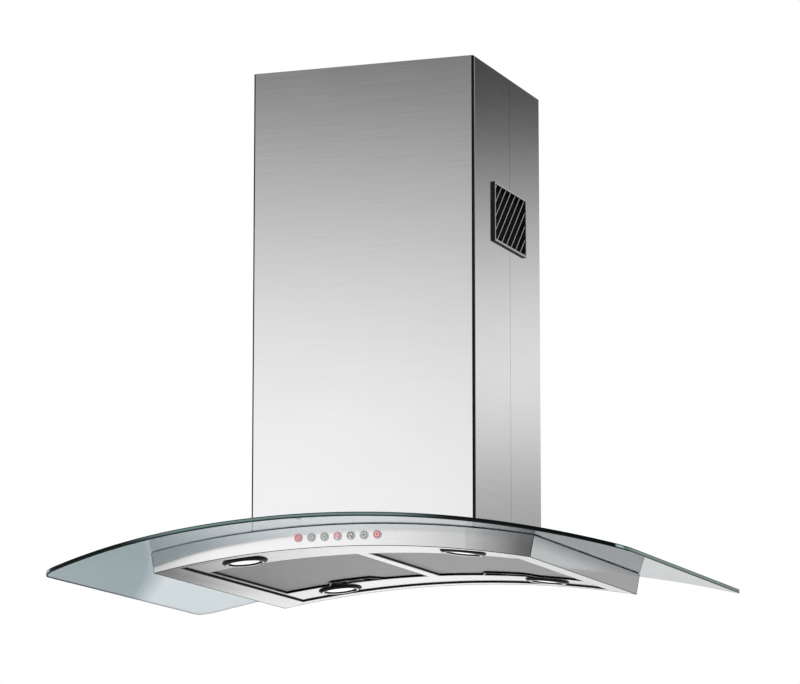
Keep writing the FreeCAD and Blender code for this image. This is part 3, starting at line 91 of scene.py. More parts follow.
class Finish:
    # a material or the world, built node by node
    def __init__(self, name, owner=None):
        self.owner = owner or bpy.data.materials.new(name)
        self.owner.use_nodes = True
        self.tree = self.owner.node_tree
        self.tree.nodes.clear()

    def node(self, kind, settings=None, sockets=None, out=0):
        made = self.tree.nodes.new(kind)
        for name, value in (settings or {}).items():
            setattr(made, name, value)
        for name, value in (sockets or {}).items():
            if isinstance(value, Wire):
                self.tree.links.new(value.socket, made.inputs[name])
            else:
                made.inputs[name].default_value = value
        return Wire(self, made.outputs[out]) if made.outputs else made

    def place(self):
        return self.node("ShaderNodeTexCoord", out="Object")

    def facing(self):
        # how far the surface looks along each of the three axes
        return self.axes(self.node("ShaderNodeTexCoord", out="Normal"))

    def axes(self, vector):
        return [self.node("ShaderNodeSeparateXYZ", None, {0: vector}, out=i) for i in range(3)]

    def scaled(self, vector, scale):
        return self.node("ShaderNodeVectorMath", {"operation": "MULTIPLY"}, {0: vector, 1: scale})

    def noise(self, vector, scale, detail):
        sockets = {"Vector": vector, "Scale": scale, "Detail": detail, "Roughness": 0.5}
        return self.node("ShaderNodeTexNoise", None, sockets, out="Fac")

    def rise(self, value, low, high, bottom=0.0, top=1.0):
        # a soft step from bottom at low to top at high
        sockets = {"Value": value, "From Min": low, "From Max": high, "To Min": bottom, "To Max": top}
        return self.node("ShaderNodeMapRange", {"interpolation_type": "SMOOTHSTEP"}, sockets)

    def blendColour(self, factor, first, second):
        sockets = {0: factor, 6: first, 7: second}
        return self.node("ShaderNodeMix", {"data_type": "RGBA"}, sockets, out=2)

    def bump(self, height, strength, distance):
        sockets = {"Height": height, "Strength": strength, "Distance": distance}
        return self.node("ShaderNodeBump", None, sockets)

    def seen(self):
        # 1 for what the camera, polished faces and glass see, 0 for the light on matt faces
        camera = self.node("ShaderNodeLightPath", out="Is Camera Ray")
        glossy = self.node("ShaderNodeLightPath", out="Is Glossy Ray")
        through = self.node("ShaderNodeLightPath", out="Is Transmission Ray")
        return camera.math("ADD", glossy, clamp=True).math("ADD", through, clamp=True)

    def surface(self, **sockets):
        names = {name.replace("_", " "): value for name, value in sockets.items()}
        shader = self.node("ShaderNodeBsdfPrincipled", None, names)
        self.node("ShaderNodeOutputMaterial", None, {"Surface": shader})
        return self.owner


def grey(level):
    return (level, level, level, 1.0)


def deeper(colour, share):
    return tuple(share * part for part in colour[:3]) + (1,)


steel = {"dark": (0.835, 0.830, 0.835, 1), "light": (0.885, 0.880, 0.885, 1), "roughness": 0.07,
         "fine": 1500, "broad": 420, "along": 9, "haze": 7.0, "bump": 0.10, "depth": 0.00003}


def brushedSteel(name):
    # the grain runs side to side, and front to back on faces that look along X
    finish = Finish(name)
    place = finish.place()
    sideways = finish.rise(finish.facing()[0].math("ABSOLUTE"), 0.68, 0.72)

    def grain(density):
        along = steel["along"]
        ahead = finish.noise(finish.scaled(place, (along, density, density)), 1.0, 3.0)
        across = finish.noise(finish.scaled(place, (density, along, density)), 1.0, 3.0)
        return ahead * (1 - sideways) + across * sideways

    streaks = grain(steel["fine"]) * 0.6 + grain(steel["broad"]) * 0.4
    haze = finish.noise(place, steel["haze"], 3.0)
    colour = finish.blendColour(finish.rise(streaks, 0.3, 0.7), steel["dark"], steel["light"])
    return finish.surface(Base_Color=colour, Metallic=1.0,
                          Roughness=steel["roughness"] + streaks * 0.06 + haze * 0.03,
                          Normal=finish.bump(streaks, steel["bump"], steel["depth"]))


# on the glass edge, dark and shadeFrom paint shade towards its ends, and corner paints a highlight on its
# rounded corners
tint = {"face": (0.49, 0.59, 0.62, 1), "deeper": 0.97, "haze": 3.0, "edge": (0.200, 0.300, 0.285, 1),
        "line": (0.010, 0.030, 0.031, 1), "dark": (0.003, 0.006, 0.006, 1), "corner": (0.42, 0.62, 0.66, 1),
        "middleX": -0.055, "shadeFrom": (0.15, 0.26)}


def temperedGlass(name):
    finish = Finish(name)
    haze = finish.noise(finish.place(), tint["haze"], 2.0)
    colour = finish.blendColour(haze, tint["face"], deeper(tint["face"], tint["deeper"]))
    return finish.surface(Base_Color=colour, Roughness=0.0, IOR=1.5, Transmission_Weight=1.0)


def glassEdge(name):
    # the ground edge gathers the green of the sheet between two dark arrises; towards its two ends it turns
    # black as painted shade, and on the rounded corners it takes a painted highlight
    finish = Finish(name)
    x, y, z = finish.axes(finish.place())
    sideways = finish.facing()[0].math("ABSOLUTE")
    height = z - (arch["crown"] - arch["radius"])
    depth = ((x * x + height * height).math("SQRT") - arch["radius"]) / arch["glass"]
    middle = finish.rise(depth, 0.20, 0.42) * finish.rise(depth, 0.88, 0.66)
    # painted shade: the front and back edges turn black towards their ends
    ends = finish.rise((x - tint["middleX"]).math("ABSOLUTE"), *tint["shadeFrom"])
    ends = ends * (1 - finish.rise(sideways, 0.75, 0.95))
    # painted highlight: a lighter colour where the edge turns round the rounded corners
    corner = finish.rise(sideways, 0.50, 0.60) * finish.rise(sideways, 0.86, 0.76)
    colour = finish.blendColour(middle, tint["line"], tint["edge"])
    colour = finish.blendColour(ends, colour, tint["dark"])
    colour = finish.blendColour(corner * middle, colour, tint["corner"])
    return finish.surface(Base_Color=colour, Roughness=0.16 + middle * 0.04, Specular_IOR_Level=0.15)


def polished(name, level=0.88, roughness=0.05):
    finish = Finish(name)
    smudge = finish.noise(finish.place(), 60.0, 4.0)
    colour = finish.blendColour(smudge, grey(level - 0.04), grey(level + 0.03))
    return finish.surface(Base_Color=colour, Metallic=1.0, Roughness=roughness - 0.03 + smudge * 0.06)


def moulded(name, low, high, roughness=0.45, grain=2600.0, depth=0.00006, gleam=0.5):
    # rubber, plastic or paint, with fine pits of a depth; gleam is the specular level
    finish = Finish(name)
    pits = finish.noise(finish.place(), grain, 2.0)
    clouds = finish.noise(finish.place(), 22.0, 3.0)
    colour = finish.blendColour(clouds, low, high)
    return finish.surface(Base_Color=colour, Roughness=roughness + clouds * 0.1, Specular_IOR_Level=gleam,
                          Normal=finish.bump(pits, 0.35, depth))


zinc = {"dark": (0.42, 0.43, 0.45, 1), "light": (0.66, 0.67, 0.69, 1), "flakes": 130.0, "haze": 18.0}


def galvanised(name):
    finish = Finish(name)
    place = finish.place()
    sockets = {"Vector": place, "Scale": zinc["flakes"]}
    flake = finish.axes(finish.node("ShaderNodeTexVoronoi", None, sockets, out="Color"))[0]
    haze = finish.noise(place, zinc["haze"], 4.0)
    colour = finish.blendColour(flake * 0.7 + haze * 0.3, zinc["dark"], zinc["light"])
    return finish.surface(Base_Color=colour, Metallic=0.9, Roughness=0.32 + flake * 0.16)


frost = {"low": (0.90, 0.90, 0.88, 1), "high": (0.98, 0.98, 0.97, 1), "grain": 1400.0, "glow": 0.55}


def frostedLens(name):
    finish = Finish(name)
    grain = finish.noise(finish.place(), frost["grain"], 3.0)
    colour = finish.blendColour(grain, frost["low"], frost["high"])
    return finish.surface(Base_Color=colour, Roughness=0.35 + grain * 0.1, Emission_Color=colour,
                          Emission_Strength=frost["glow"], Normal=finish.bump(grain, 0.2, 0.0001))


def satinAluminium(name, low, high, roughness=0.33, paintedWallShade=None):
    # paintedWallShade is painted shade: a dark colour on the faces that stand upright, for the recesses round
    # the filter mesh
    finish = Finish(name)
    grain = finish.noise(finish.scaled(finish.place(), (20, 700, 700)), 1.0, 3.0)
    colour = finish.blendColour(grain, low, high)
    if paintedWallShade:
        upright = finish.rise(finish.facing()[2].math("ABSOLUTE"), 0.6, 0.4)
        colour = finish.blendColour(upright, colour, paintedWallShade)
    return finish.surface(Base_Color=colour, Metallic=1.0,
                          Roughness=roughness + grain * 0.12, Normal=finish.bump(grain, 0.15, 0.0002))


vent = {"silver": (grey(0.50), grey(0.60)), "black": (grey(0.004), grey(0.008)), "speckle": 900.0}


def grillePaint(name):
    # silver on the faces that look outward, black inside the openings and round the frame's sides
    finish = Finish(name)
    outer = finish.rise(finish.facing()[0].math("ABSOLUTE"), 0.80, 0.95)
    speckle = finish.noise(finish.place(), vent["speckle"], 3.0)
    silver = finish.blendColour(speckle, *vent["silver"])
    black = finish.blendColour(speckle, *vent["black"])
    return finish.surface(Base_Color=finish.blendColour(outer, black, silver), Metallic=outer * 0.5,
                          Roughness=0.42 + speckle * 0.1, Normal=finish.bump(speckle, 0.15, 0.00005))


def litSymbol(name, colour, glow):
    finish = Finish(name)
    cloud = finish.noise(finish.place(), 900.0, 2.0)
    mixed = finish.blendColour(cloud, deeper(colour, 0.8), colour)
    return finish.surface(Base_Color=mixed, Roughness=0.4, Emission_Color=mixed, Emission_Strength=glow)


board = {"lacquer": (0.01, 0.09, 0.035, 1), "track": (0.05, 0.22, 0.09, 1), "across": 2400, "up": 2100}


def circuitBoard(name):
    finish = Finish(name)
    x, y, z = finish.axes(finish.place())
    waves = (x * board["across"]).math("SINE") * (z * board["up"]).math("SINE")
    colour = finish.blendColour(finish.rise(waves, 0.35, 0.45), board["lacquer"], board["track"])
    return finish.surface(Base_Color=colour, Roughness=0.4, Coat_Weight=0.3)


finishes = {
    "brushed_steel": brushedSteel("brushedSteel"),
    "glass": temperedGlass("temperedGlass"),
    "rubber": moulded("blackRubber", grey(0.004), grey(0.008), 0.6, gleam=0.15),
    "chrome": polished("chrome"),
    "lens": frostedLens("lampLens"),
    "galvanised": galvanised("galvanisedSheet"),
    # the frame's upright walls are painted black as shade in the recesses
    "filter_frame": satinAluminium("filterFrame", grey(0.50), grey(0.62), paintedWallShade=grey(0.006)),
    "filter_mesh": satinAluminium("filterMesh", grey(0.66), grey(0.78), 0.38),
    "button": satinAluminium("buttonCap", grey(0.80), grey(0.87), 0.20),
    "board": circuitBoard("circuitBoard"),
    "black_plastic": moulded("blackPlastic", grey(0.010), grey(0.018), 0.42),
    "grille": grillePaint("grillePaint"),
    "motor_paint": moulded("motorPaint", grey(0.03), grey(0.045), 0.35),
}
slotOf = {part["node"]: part["material_slot"] for part in frame["record"]["subparts"]}
for name, thing in nodes.items():
    # the button rings are polished metal, darkened below the chrome as painted shade of the groove round each
    # cap
    surface = finishes[slotOf[name]] if name != "button_rings" else polished("shadedButtonRing", 0.66, 0.15)
    for place in thing.material_slots:
        place.material = surface
print("finishes assigned:", len(finishes))


def newPiece(name, mesh, body, slot, *surfaces):
    piece = bpy.data.objects.new(name, mesh)
    bpy.context.scene.collection.objects.link(piece)
    for surface in surfaces:
        mesh.materials.append(surface)
    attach(piece, body)
    return piece


def meshOf(name, points, faces, smooth=True):
    mesh = bpy.data.meshes.new(name)
    mesh.from_pydata(points, [], faces)
    shape = bmesh.new()
    shape.from_mesh(mesh)
    bmesh.ops.remove_doubles(shape, verts=shape.verts, dist=1e-7)
    bmesh.ops.recalc_face_normals(shape, faces=shape.faces)
    shape.to_mesh(mesh)
    shape.free()
    for face in mesh.polygons:
        face.use_smooth = smooth
    return mesh


def sheetFaces(columns, rows, kept=lambda column, row: True):
    # the cells of a sheet whose points stand in two layers, row by row
    size = (columns + 1) * (rows + 1)
    faces = []
    for row in range(rows):
        for column in range(columns):
            if kept(column, row):
                a = row * (columns + 1) + column
                quad = (a, a + 1, a + columns + 2, a + columns + 1)
                faces += [quad, tuple(k + size for k in reversed(quad))]
    return faces


# the glass: plan of tangent arcs, bent to the arch, with ground edges and holes for the duct and the studs
glass = {"halfWidth": 0.450, "halfDepth": 0.350, "corner": 0.034, "midRadius": 4.5, "midHalf": 0.200,
         "endRadius": 0.950, "arris": 0.0009, "arrisTurns": (0.39, 0.785, 1.18, 1.571), "guard": 0.003,
         "holeX": 0.131, "holeY": 0.121, "holeCorner": 0.014, "studX": 0.155, "studY": 0.100,
         "studHole": 0.005, "stations": 90, "levelFace": 0.995}


def arcPoints(middle, radius, start, stop, steps):
    angles = [math.radians(start + (stop - start) * i / steps) for i in range(steps + 1)]
    return [(middle[0] + radius * math.cos(a), middle[1] + radius * math.sin(a)) for a in angles]


def glassOutline():
    # one quarter, from the middle of the front edge round to the middle of the right side
    g = glass
    turn = math.degrees(math.asin(g["midHalf"] / g["midRadius"]))
    centre = (0.0, g["midRadius"] - g["halfDepth"])
    share = 1 - g["endRadius"] / g["midRadius"]
    endCentre = (g["midHalf"] * share,
                 centre[1] - (g["midRadius"] - g["endRadius"]) * math.cos(math.radians(turn)))
    inner = g["endRadius"] - g["corner"]
    cornerX = g["halfWidth"] - g["corner"]
    drop = math.sqrt(inner ** 2 - (cornerX - endCentre[0]) ** 2)
    cornerY = endCentre[1] - drop
    stop = -math.degrees(math.atan2(drop, cornerX - endCentre[0]))
    quarter = arcPoints(centre, g["midRadius"], -90, turn - 90, 12)
    quarter += arcPoints(endCentre, g["endRadius"], turn - 90, stop, 20)[1:]
    quarter += arcPoints((cornerX, cornerY), g["corner"], stop, 0, 14)[1:]
    quarter.append((g["halfWidth"], cornerY / 2))
    right = quarter + [(x, -y) for x, y in reversed(quarter)]
    return right + [(-x, y) for x, y in reversed(right)][1:-1]


def holeOutlines():
    g = glass
    corner = g["holeCorner"]
    duct = []
    for sx, sy, start in ((1, -1, -90), (1, 1, 0), (-1, 1, 90), (-1, -1, 180)):
        middle = (sx * (g["holeX"] - corner), sy * (g["holeY"] - corner))
        duct += arcPoints(middle, corner, start, start + 90, 6)
    studs = [arcPoints((i * g["studX"], j * g["studY"]), g["studHole"], 0, 360 - 15, 23)
             for i in (-1, 1) for j in (-1, 1)]
    return [duct] + studs


def outward(outline, solidInside):
    # unit normals that point away from the glass
    normals = []
    count = len(outline)
    area = sum(outline[i][0] * outline[(i + 1) % count][1] - outline[(i + 1) % count][0] * outline[i][1]
               for i in range(count))
    sign = 1 if (area > 0) == solidInside else -1
    for i in range(count):
        before, here, after = outline[i - 1], outline[i], outline[(i + 1) % count]
        one = Vector((here[1] - before[1], before[0] - here[0])).normalized()
        two = Vector((after[1] - here[1], here[0] - after[0])).normalized()
        bisector = (one + two).normalized() * sign
        normals.append(bisector / max(0.5, one.dot(bisector * sign)))
    return normals


def makeGlass():
    g = glass
    arris, top = g["arris"], arch["glass"]
    profile = [(g["guard"], 0.0), (arris, 0.0)]
    profile += [(arris * (1 - math.sin(a)), arris * (1 - math.cos(a))) for a in g["arrisTurns"]]
    profile += [(inset, top - height) for inset, height in reversed(profile[1:])] + [(g["guard"], top)]
    shape = bmesh.new()
    rims = []
    for outline, solidInside in [(glassOutline(), True)] + [(hole, False) for hole in holeOutlines()]:
        normals = outward(outline, solidInside)
        rings = []
        for inset, height in profile:
            rings.append([shape.verts.new((x - n[0] * inset, y - n[1] * inset, height))
                          for (x, y), n in zip(outline, normals)])
        count = len(outline)
        for low, high in zip(rings, rings[1:]):
            for i in range(count):
                shape.faces.new((low[i], low[(i + 1) % count], high[(i + 1) % count], high[i]))
        rims.append((rings[0], rings[-1]))
    for side in (0, 1):
        edges = []
        for rim in rims:
            ring = rim[side]
            edges += [shape.edges.get((ring[i], ring[(i + 1) % len(ring)])) for i in range(len(ring))]
        bmesh.ops.triangle_fill(shape, use_beauty=True, edges=edges)
    width = g["halfWidth"]
    for i in range(1, g["stations"]):
        x = -width + 2 * width * i / g["stations"]
        everything = list(shape.verts) + list(shape.edges) + list(shape.faces)
        bmesh.ops.bisect_plane(shape, geom=everything, dist=1e-6, plane_co=(x, 0, 0), plane_no=(1, 0, 0))
    bmesh.ops.recalc_face_normals(shape, faces=shape.faces)
    for face in shape.faces:
        face.material_index = 0 if abs(face.normal.z) > g["levelFace"] else 1
        face.smooth = True
    for vert in shape.verts:
        vert.co.z = archHeight(vert.co.x, vert.co.z)
    mesh = bpy.data.meshes.new("glassSheet")
    shape.to_mesh(mesh)
    shape.free()
    piece = newPiece("glassSheet", mesh, "hood", "glass", finishes["glass"], glassEdge("glassEdge"))
    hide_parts("glass_canopy")


makeGlass()
print("glass sheet made")

# the body's trim: a steel lip that closes on the rubber under the glass, a black strip along the bottom fold
# as painted shade, and black joints at the corners
trim = {"half": 0.2960, "front": 0.264, "arcHalf": 0.1962, "arc": 4.414, "endArc": 0.864, "shellTop": -0.0025,
        "steps": (40, 16, 20), "lipFoot": -0.0026, "lipTop": -0.00125, "lipWidth": 0.0007, "lipEase": 0.0002,
        "bottom": -0.0325, "joint": 0.0008, "proud": 0.0002, "ease": 0.0001, "heel": (0.0006, 0.0003),
        "corner": 0.00055}


def bodyFront(x):
    # distance of the bowed front from the middle plane
    t = trim
    turn = math.asin(t["arcHalf"] / t["arc"])
    if abs(x) <= t["arcHalf"]:
        return t["front"] - t["arc"] + math.sqrt(t["arc"] ** 2 - x * x)
    middleX = t["arcHalf"] - t["endArc"] * math.sin(turn)
    middleY = t["front"] - t["arc"] + (t["arc"] - t["endArc"]) * math.cos(turn)
    return middleY + math.sqrt(t["endArc"] ** 2 - (abs(x) - middleX) ** 2)


def bodySide(level):
    # the side faces stand square to the arch
    return trim["half"] * (arch["radius"] + level) / (arch["radius"] + trim["shellTop"])


def bodyPath(grow, level):
    # once round the body at a distance above the arch, grow outside its faces; the back is flat
    half = bodySide(level)
    ahead, aside, behind = trim["steps"]
    xs = [half * i / ahead for i in range(-ahead, ahead + 1)]
    front = [(x * (1 + grow / half), -bodyFront(x) - grow) for x in xs]
    backY = trim["front"] + grow
    side = [(half + grow, front[-1][1] + (backY - front[-1][1]) * i / aside) for i in range(1, aside)]
    back = [((half + grow) * (1 - i / behind), backY) for i in range(2 * behind + 1)]
    return front + side + back + [(-x, y) for x, y in reversed(side)]


def bead(name, rings, slot, surface, closed):
    # rings of points, each joined to the next; closed joins the last to the first, else both ends are capped
    count, faces = len(rings[0]), []
    for k in range(len(rings) if closed else len(rings) - 1):
        low, high = k * count, (k + 1) % len(rings) * count
        faces += [(low + i, low + (i + 1) % count, high + (i + 1) % count, high + i) for i in range(count)]
    if not closed:
        faces += [tuple(range(count)), tuple(range(len(rings) * count - count, len(rings) * count))]
    mesh = meshOf(name, [point for ring in rings for point in ring], faces, smooth=False)
    return newPiece(name, mesh, "hood", slot, surface)


def hoop(name, profile, slot, surface):
    # a closed bead round the body; its section holds distances outside the faces and above the arch
    rings = [[(x, y, archHeight(x, level)) for x, y in bodyPath(grow, level)] for grow, level in profile]
    return bead(name, rings, slot, surface, True)


def makeTrim():
    t = trim
    lip = [(0, t["lipFoot"]), (0, t["lipTop"] - t["lipEase"]), (-t["lipEase"], t["lipTop"]),
           (-t["lipWidth"], t["lipTop"]), (-t["lipWidth"], t["lipFoot"])]
    hoop("bodyLip", lip, "brushed_steel", finishes["brushed_steel"])
    # a black rubber strip along the bottom of the faces, painted shade of the fold
    out, low = t["proud"], t["bottom"] - t["proud"]
    inward, upward = t["heel"]
    foldShade = [(out - t["ease"], low), (out, low + t["ease"]), (out, low + t["joint"]),
            (out - inward, low + t["joint"]), (out - t["joint"], low + upward), (out - t["joint"], low)]
    hoop("foldShadeStrip", foldShade, "rubber", finishes["rubber"])
    eased, deep = out - t["ease"], t["corner"]
    for side in (-1, 1):
        for end in (-1, 1):
            rings = []
            for level in (t["bottom"], t["lipTop"]):
                half = bodySide(level)
                x, y = side * half, end * (bodyFront(half) if end < 0 else t["front"])
                section = [(x + side * out, y - end * deep), (x + side * out, y + end * eased),
                           (x + side * eased, y + end * out), (x - side * deep, y + end * out),
                           (x - side * deep, y - end * deep)]
                rings.append([(u, v, archHeight(u, level)) for u, v in section])
            name = "cornerJoint_%s%s" % ("left" if side < 0 else "right", "Front" if end < 0 else "Back")
            bead(name, rings, "rubber", finishes["rubber"], False)


makeTrim()

# the chimney: black rubber strips in the two side seams as painted shade, and black screens behind the vents
# as painted shade inside the hood
shaft = {"half": 0.175, "seam": 0.0080, "gap": 0.0008, "clear": 0.00002, "set": 0.0003, "deep": 0.0012,
         "swell": 0.0001, "foot": 0.0078, "top": -0.0012, "ventY": (-0.0676, 0.0726),
         "ventZ": (-0.2616, -0.1784), "cells": (14, 9), "screen": 0.1703, "crown": 0.0006, "sheet": 0.0004}


def makeSeamShade(side, name):
    # a black strip set in the seam's gap, painted shade of the seam
    c = shaft
    outer, inner = side * (c["half"] - c["set"]), side * (c["half"] - c["deep"])
    near, far = c["seam"] + c["clear"], c["seam"] + c["gap"] - c["clear"]
    section = [(inner, near), (outer, near), (outer + side * c["swell"], (near + far) / 2),
               (outer, far), (inner, far)]
    rings = [[(x, y, height) for x, y in section] for height in (archHeight(inner, c["foot"]), c["top"])]
    bead(name, rings, "rubber", finishes["rubber"], False)


def makeVentShadeScreen(side, name, cloth):
    # a black sheet behind the vent's bars, painted shade inside the hood; slightly crowned towards the bars,
    # flat at the back
    c = shaft
    columns, rows = c["cells"]
    points = []
    for layer in (0, 1):
        for row in range(rows + 1):
            for column in range(columns + 1):
                u, v = column / columns, row / rows
                crown = c["crown"] * (1 - (2 * u - 1) ** 2) * (1 - (2 * v - 1) ** 2)
                points.append((side * (c["screen"] + crown * (1 - layer) - c["sheet"] * layer),
                               c["ventY"][0] + (c["ventY"][1] - c["ventY"][0]) * u,
                               c["ventZ"][0] + (c["ventZ"][1] - c["ventZ"][0]) * v))
    size = (columns + 1) * (rows + 1)
    border = list(range(columns)) + [j * (columns + 1) + columns for j in range(rows)]
    border += [size - 1 - i for i in range(columns)] + [(rows - j) * (columns + 1) for j in range(rows)]
    faces = sheetFaces(columns, rows)
    faces += [(a, b, b + size, a + size) for a, b in zip(border, border[1:] + border[:1])]
    newPiece(name, meshOf(name, points, faces), "hood", "black_plastic", cloth)


for side, end in ((-1, "left"), (1, "right")):
    makeSeamShade(side, "seamShade_" + end)
    # the screens' cloth is near black, painted shade behind the vents
    ventShadeCloth = moulded("ventShadeCloth_" + end, grey(0.003), grey(0.006), 0.8, 1500.0, 0.0001, 0.1)
    makeVentShadeScreen(side, "ventShadeScreen_" + end, ventShadeCloth)
print("trim made")

# the filters: expanded aluminium strands over a dark fleece, inside the frames that CAD gives
grease = {"middle": 0.126, "halfWidth": 0.117, "halfDepth": 0.153, "border": 0.0016, "tuck": 0.0004,
          "under": -0.0275, "long": 0.0080, "short": 0.0040, "strand": 0.0011, "sheet": 0.0005,
          "lean": 0.0007, "notchBase": 0.044, "notchTop": 0.031, "notchDepth": 0.030, "fleece": 0.0013,
          "fleeceSheet": 0.0004, "fleeceRim": 0.006, "cells": (24, 30)}
fleece = moulded("filterFleece", grey(0.13), grey(0.18), 0.75, 900.0, 0.0004)


def insideFilter(x, y, grow=0.0):
    # x from the middle of the filter; grow moves the notch's edge outward
    g = grease
    if y < g["halfDepth"] - g["notchDepth"] - g["border"] - grow:
        return True
    share = (g["halfDepth"] - y) / g["notchDepth"]
    half = g["notchBase"] + (g["notchTop"] - g["notchBase"]) * share + g["border"] + grow
    return abs(x) > half


def filterReach():
    g = grease
    right = g["halfWidth"] - g["border"] + g["tuck"]
    return -right, right, g["halfDepth"] - g["border"]


def makeStrands(side, name):
    g = grease
    left, right, half = filterReach()
    steps = int((right - left) / (g["long"] / 2))
    rows = int(2 * half / (g["short"] / 2))
    points, faces = [], []
    for row in range(rows):
        low = -half + row * g["short"] / 2
        crest = row % 2
        previous = None
        for step in range(steps + 1):
            x = left + (right - left) * step / steps
            up = (step + crest) % 2
            y = low + up * g["short"] / 2
            if not insideFilter(x, y):
                previous = None
                continue
            tip = g["lean"] * up
            ring = []
            for dy, dz in ((-0.5, 0), (0.5, 0), (0.5, 1), (-0.5, 1)):
                worldX = side * g["middle"] + x
                height = archHeight(worldX, g["under"] + tip + dz * g["sheet"])
                ring.append(len(points))
                points.append((worldX, y + dy * g["strand"], height))
            if previous:
                faces += [(previous[k], previous[(k + 1) % 4], ring[(k + 1) % 4], ring[k]) for k in range(4)]
            previous = ring
    mesh = bpy.data.meshes.new("filterStrands_" + name)
    mesh.from_pydata(points, [], faces)
    surface = finishes["filter_mesh"]
    strands = newPiece("filterStrands_" + name, mesh, "filter_" + name, "filter_mesh", surface)
    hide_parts("filter_mesh_" + name)


def makeFleece(side, name):
    g = grease
    left, right, half = filterReach()
    columns, rows = g["cells"]

    def spot(column, row):
        return left + (right - left) * column / columns, -half + 2 * half * row / rows

    points = []
    for layer in (0, 1):
        for row in range(rows + 1):
            for column in range(columns + 1):
                x, y = spot(column, row)
                x += side * g["middle"]
                points.append((x, y, archHeight(x, g["under"] + g["fleece"] + layer * g["fleeceSheet"])))
    faces = sheetFaces(columns, rows, lambda i, j: insideFilter(*spot(i + 0.5, j + 0.5), g["fleeceRim"]))
    mesh = bpy.data.meshes.new("filterFleece_" + name)
    mesh.from_pydata(points, [], faces)
    shape = bmesh.new()
    shape.from_mesh(mesh)
    bmesh.ops.delete(shape, geom=[v for v in shape.verts if not v.link_faces], context="VERTS")
    bmesh.ops.bridge_loops(shape, edges=[edge for edge in shape.edges if edge.is_boundary])
    bmesh.ops.recalc_face_normals(shape, faces=shape.faces)
    shape.to_mesh(mesh)
    shape.free()
    newPiece("filterFleece_" + name, mesh, "filter_" + name, "filter_mesh", fleece)


for side, end in ((-1, "left"), (1, "right")):
    makeStrands(side, end)
    makeFleece(side, end)
print("filters made")

# the lamps: a glossy black bezel with a polished lip, and a frosted lens with fine rings
lamp = {"x": 0.170, "y": 0.194, "layer": -0.0305, "turns": 96,
        "bezel": [(34.0, -0.35), (33.9, -0.8), (33.3, -1.5), (31.9, -2.5), (30.1, -3.3), (28.6, -3.72)],
        "lip": [(28.6, -3.72), (27.8, -3.85), (26.8, -3.83), (26.1, -3.65), (25.7, -3.3)],
        "well": [(25.7, -3.3), (24.6, -2.6), (22.9, -1.8), (22.1, -1.45), (22.0, -0.35), (34.0, -0.35)],
        "chrome": (25.8, 28.4, -3.4), "lensRadius": 21.9, "lensFace": -1.15, "lensBack": 1.05,
        "lensRise": 0.55, "ridges": 9, "ridge": 0.07}


def lathe(profile, closed=False):
    # rings of points about the local Z axis, from (radius, height) in millimetres
    turns = lamp["turns"]
    points, faces = [], []
    for radius, height in profile:
        for i in range(turns):
            angle = 2 * math.pi * i / turns
            points.append((radius * math.cos(angle) / 1000, radius * math.sin(angle) / 1000, height / 1000))
    pairs = [(j, j + 1) for j in range(len(profile) - 1)] + ([(len(profile) - 1, 0)] if closed else [])
    for low, high in pairs:
        for i in range(turns):
            after = (i + 1) % turns
            faces.append((low * turns + i, low * turns + after, high * turns + after, high * turns + i))
    return points, faces


def lampFrame(i, j):
    lean = math.asin(i * lamp["x"] / (arch["radius"] + lamp["layer"]))
    at = Vector((i * lamp["x"], j * lamp["y"], archHeight(lamp["x"], lamp["layer"])))
    return Matrix.Translation(at) @ Matrix.Rotation(lean, 4, "Y")


def makeBezel(number, place, gloss):
    rim = lamp["bezel"] + lamp["lip"][1:] + lamp["well"][1:-1]
    points, faces = lathe(rim, closed=True)
    mesh = meshOf("lampBezel_%d" % number, points, faces)
    inner, outer, below = lamp["chrome"]
    for face in mesh.polygons:
        radius = math.hypot(face.center.x, face.center.y) * 1000
        if inner < radius < outer and face.center.z * 1000 < below:
            face.material_index = 1
    mesh.transform(place)
    bezel = newPiece("lampBezel_%d" % number, mesh, "hood", "chrome", gloss, finishes["chrome"])
    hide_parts("lamp_ring_%d" % number)


def makeLens(number, place):
    # domed a little, with a fine ridge at every other ring of points
    count = lamp["ridges"] * 4
    profile = []
    for k in range(count + 1):
        sag = lamp["lensRise"] * (1 - (k / count) ** 2) + lamp["ridge"] * math.sin(k * math.pi / 2) ** 2
        profile.append((max(lamp["lensRadius"] * k / count, 0.01), lamp["lensFace"] - sag))
    profile += [(lamp["lensRadius"], lamp["lensBack"]), (0.01, lamp["lensBack"])]
    mesh = meshOf("lampGlass_%d" % number, *lathe(profile))
    mesh.transform(place)
    lens = newPiece("lampGlass_%d" % number, mesh, "hood", "lens", finishes["lens"])
    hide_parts("lamp_lens_%d" % number)


bezelGloss = moulded("bezelGloss", grey(0.003), grey(0.005), 0.30, 300.0, 0.000005, 0.06)
for number, (i, j) in enumerate([(-1, -1), (1, -1), (-1, 1), (1, 1)], 1):
    makeBezel(number, lampFrame(i, j), bezelGloss)
    makeLens(number, lampFrame(i, j))
print("lamps made")

# the buttons' marks: raised signs of plain rings, bars and dots, three of them lit
marks = {"middle": 3, "pitch": 0.0203, "offset": 0.003, "drop": -0.7235, "bow": 4.414, "bowCentre": 4.150,
         "proud": 0.0014, "relief": 0.00018, "sunk": 0.0001, "lit": (0, 3, 6), "glow": 0.55,
         "lamp": (0.80, 0.035, 0.06, 1), "plain": (0.085, 0.085, 0.085, 1)}


def sector(inner, outer, start=0.0, stop=360.0, middle=(0.0, 0.0)):
    # a flat ring or part of one, in millimetres, as pairs of points on the inner and the outer edge
    steps = max(6, int(abs(stop - start) / 12))
    edges = [arcPoints(middle, radius, start, stop, steps) for radius in (inner, outer)]
    return [list(pair) for pair in zip(*edges)]


def bar(x0, z0, x1, z1, width):
    # a straight strip, as pairs of points at its two ends
    along = Vector((x1 - x0, z1 - z0)).normalized()
    side = Vector((-along.y, along.x)) * width / 2
    return [[(x0 - side.x, z0 - side.y), (x0 + side.x, z0 + side.y)],
            [(x1 - side.x, z1 - side.y), (x1 + side.x, z1 + side.y)]]


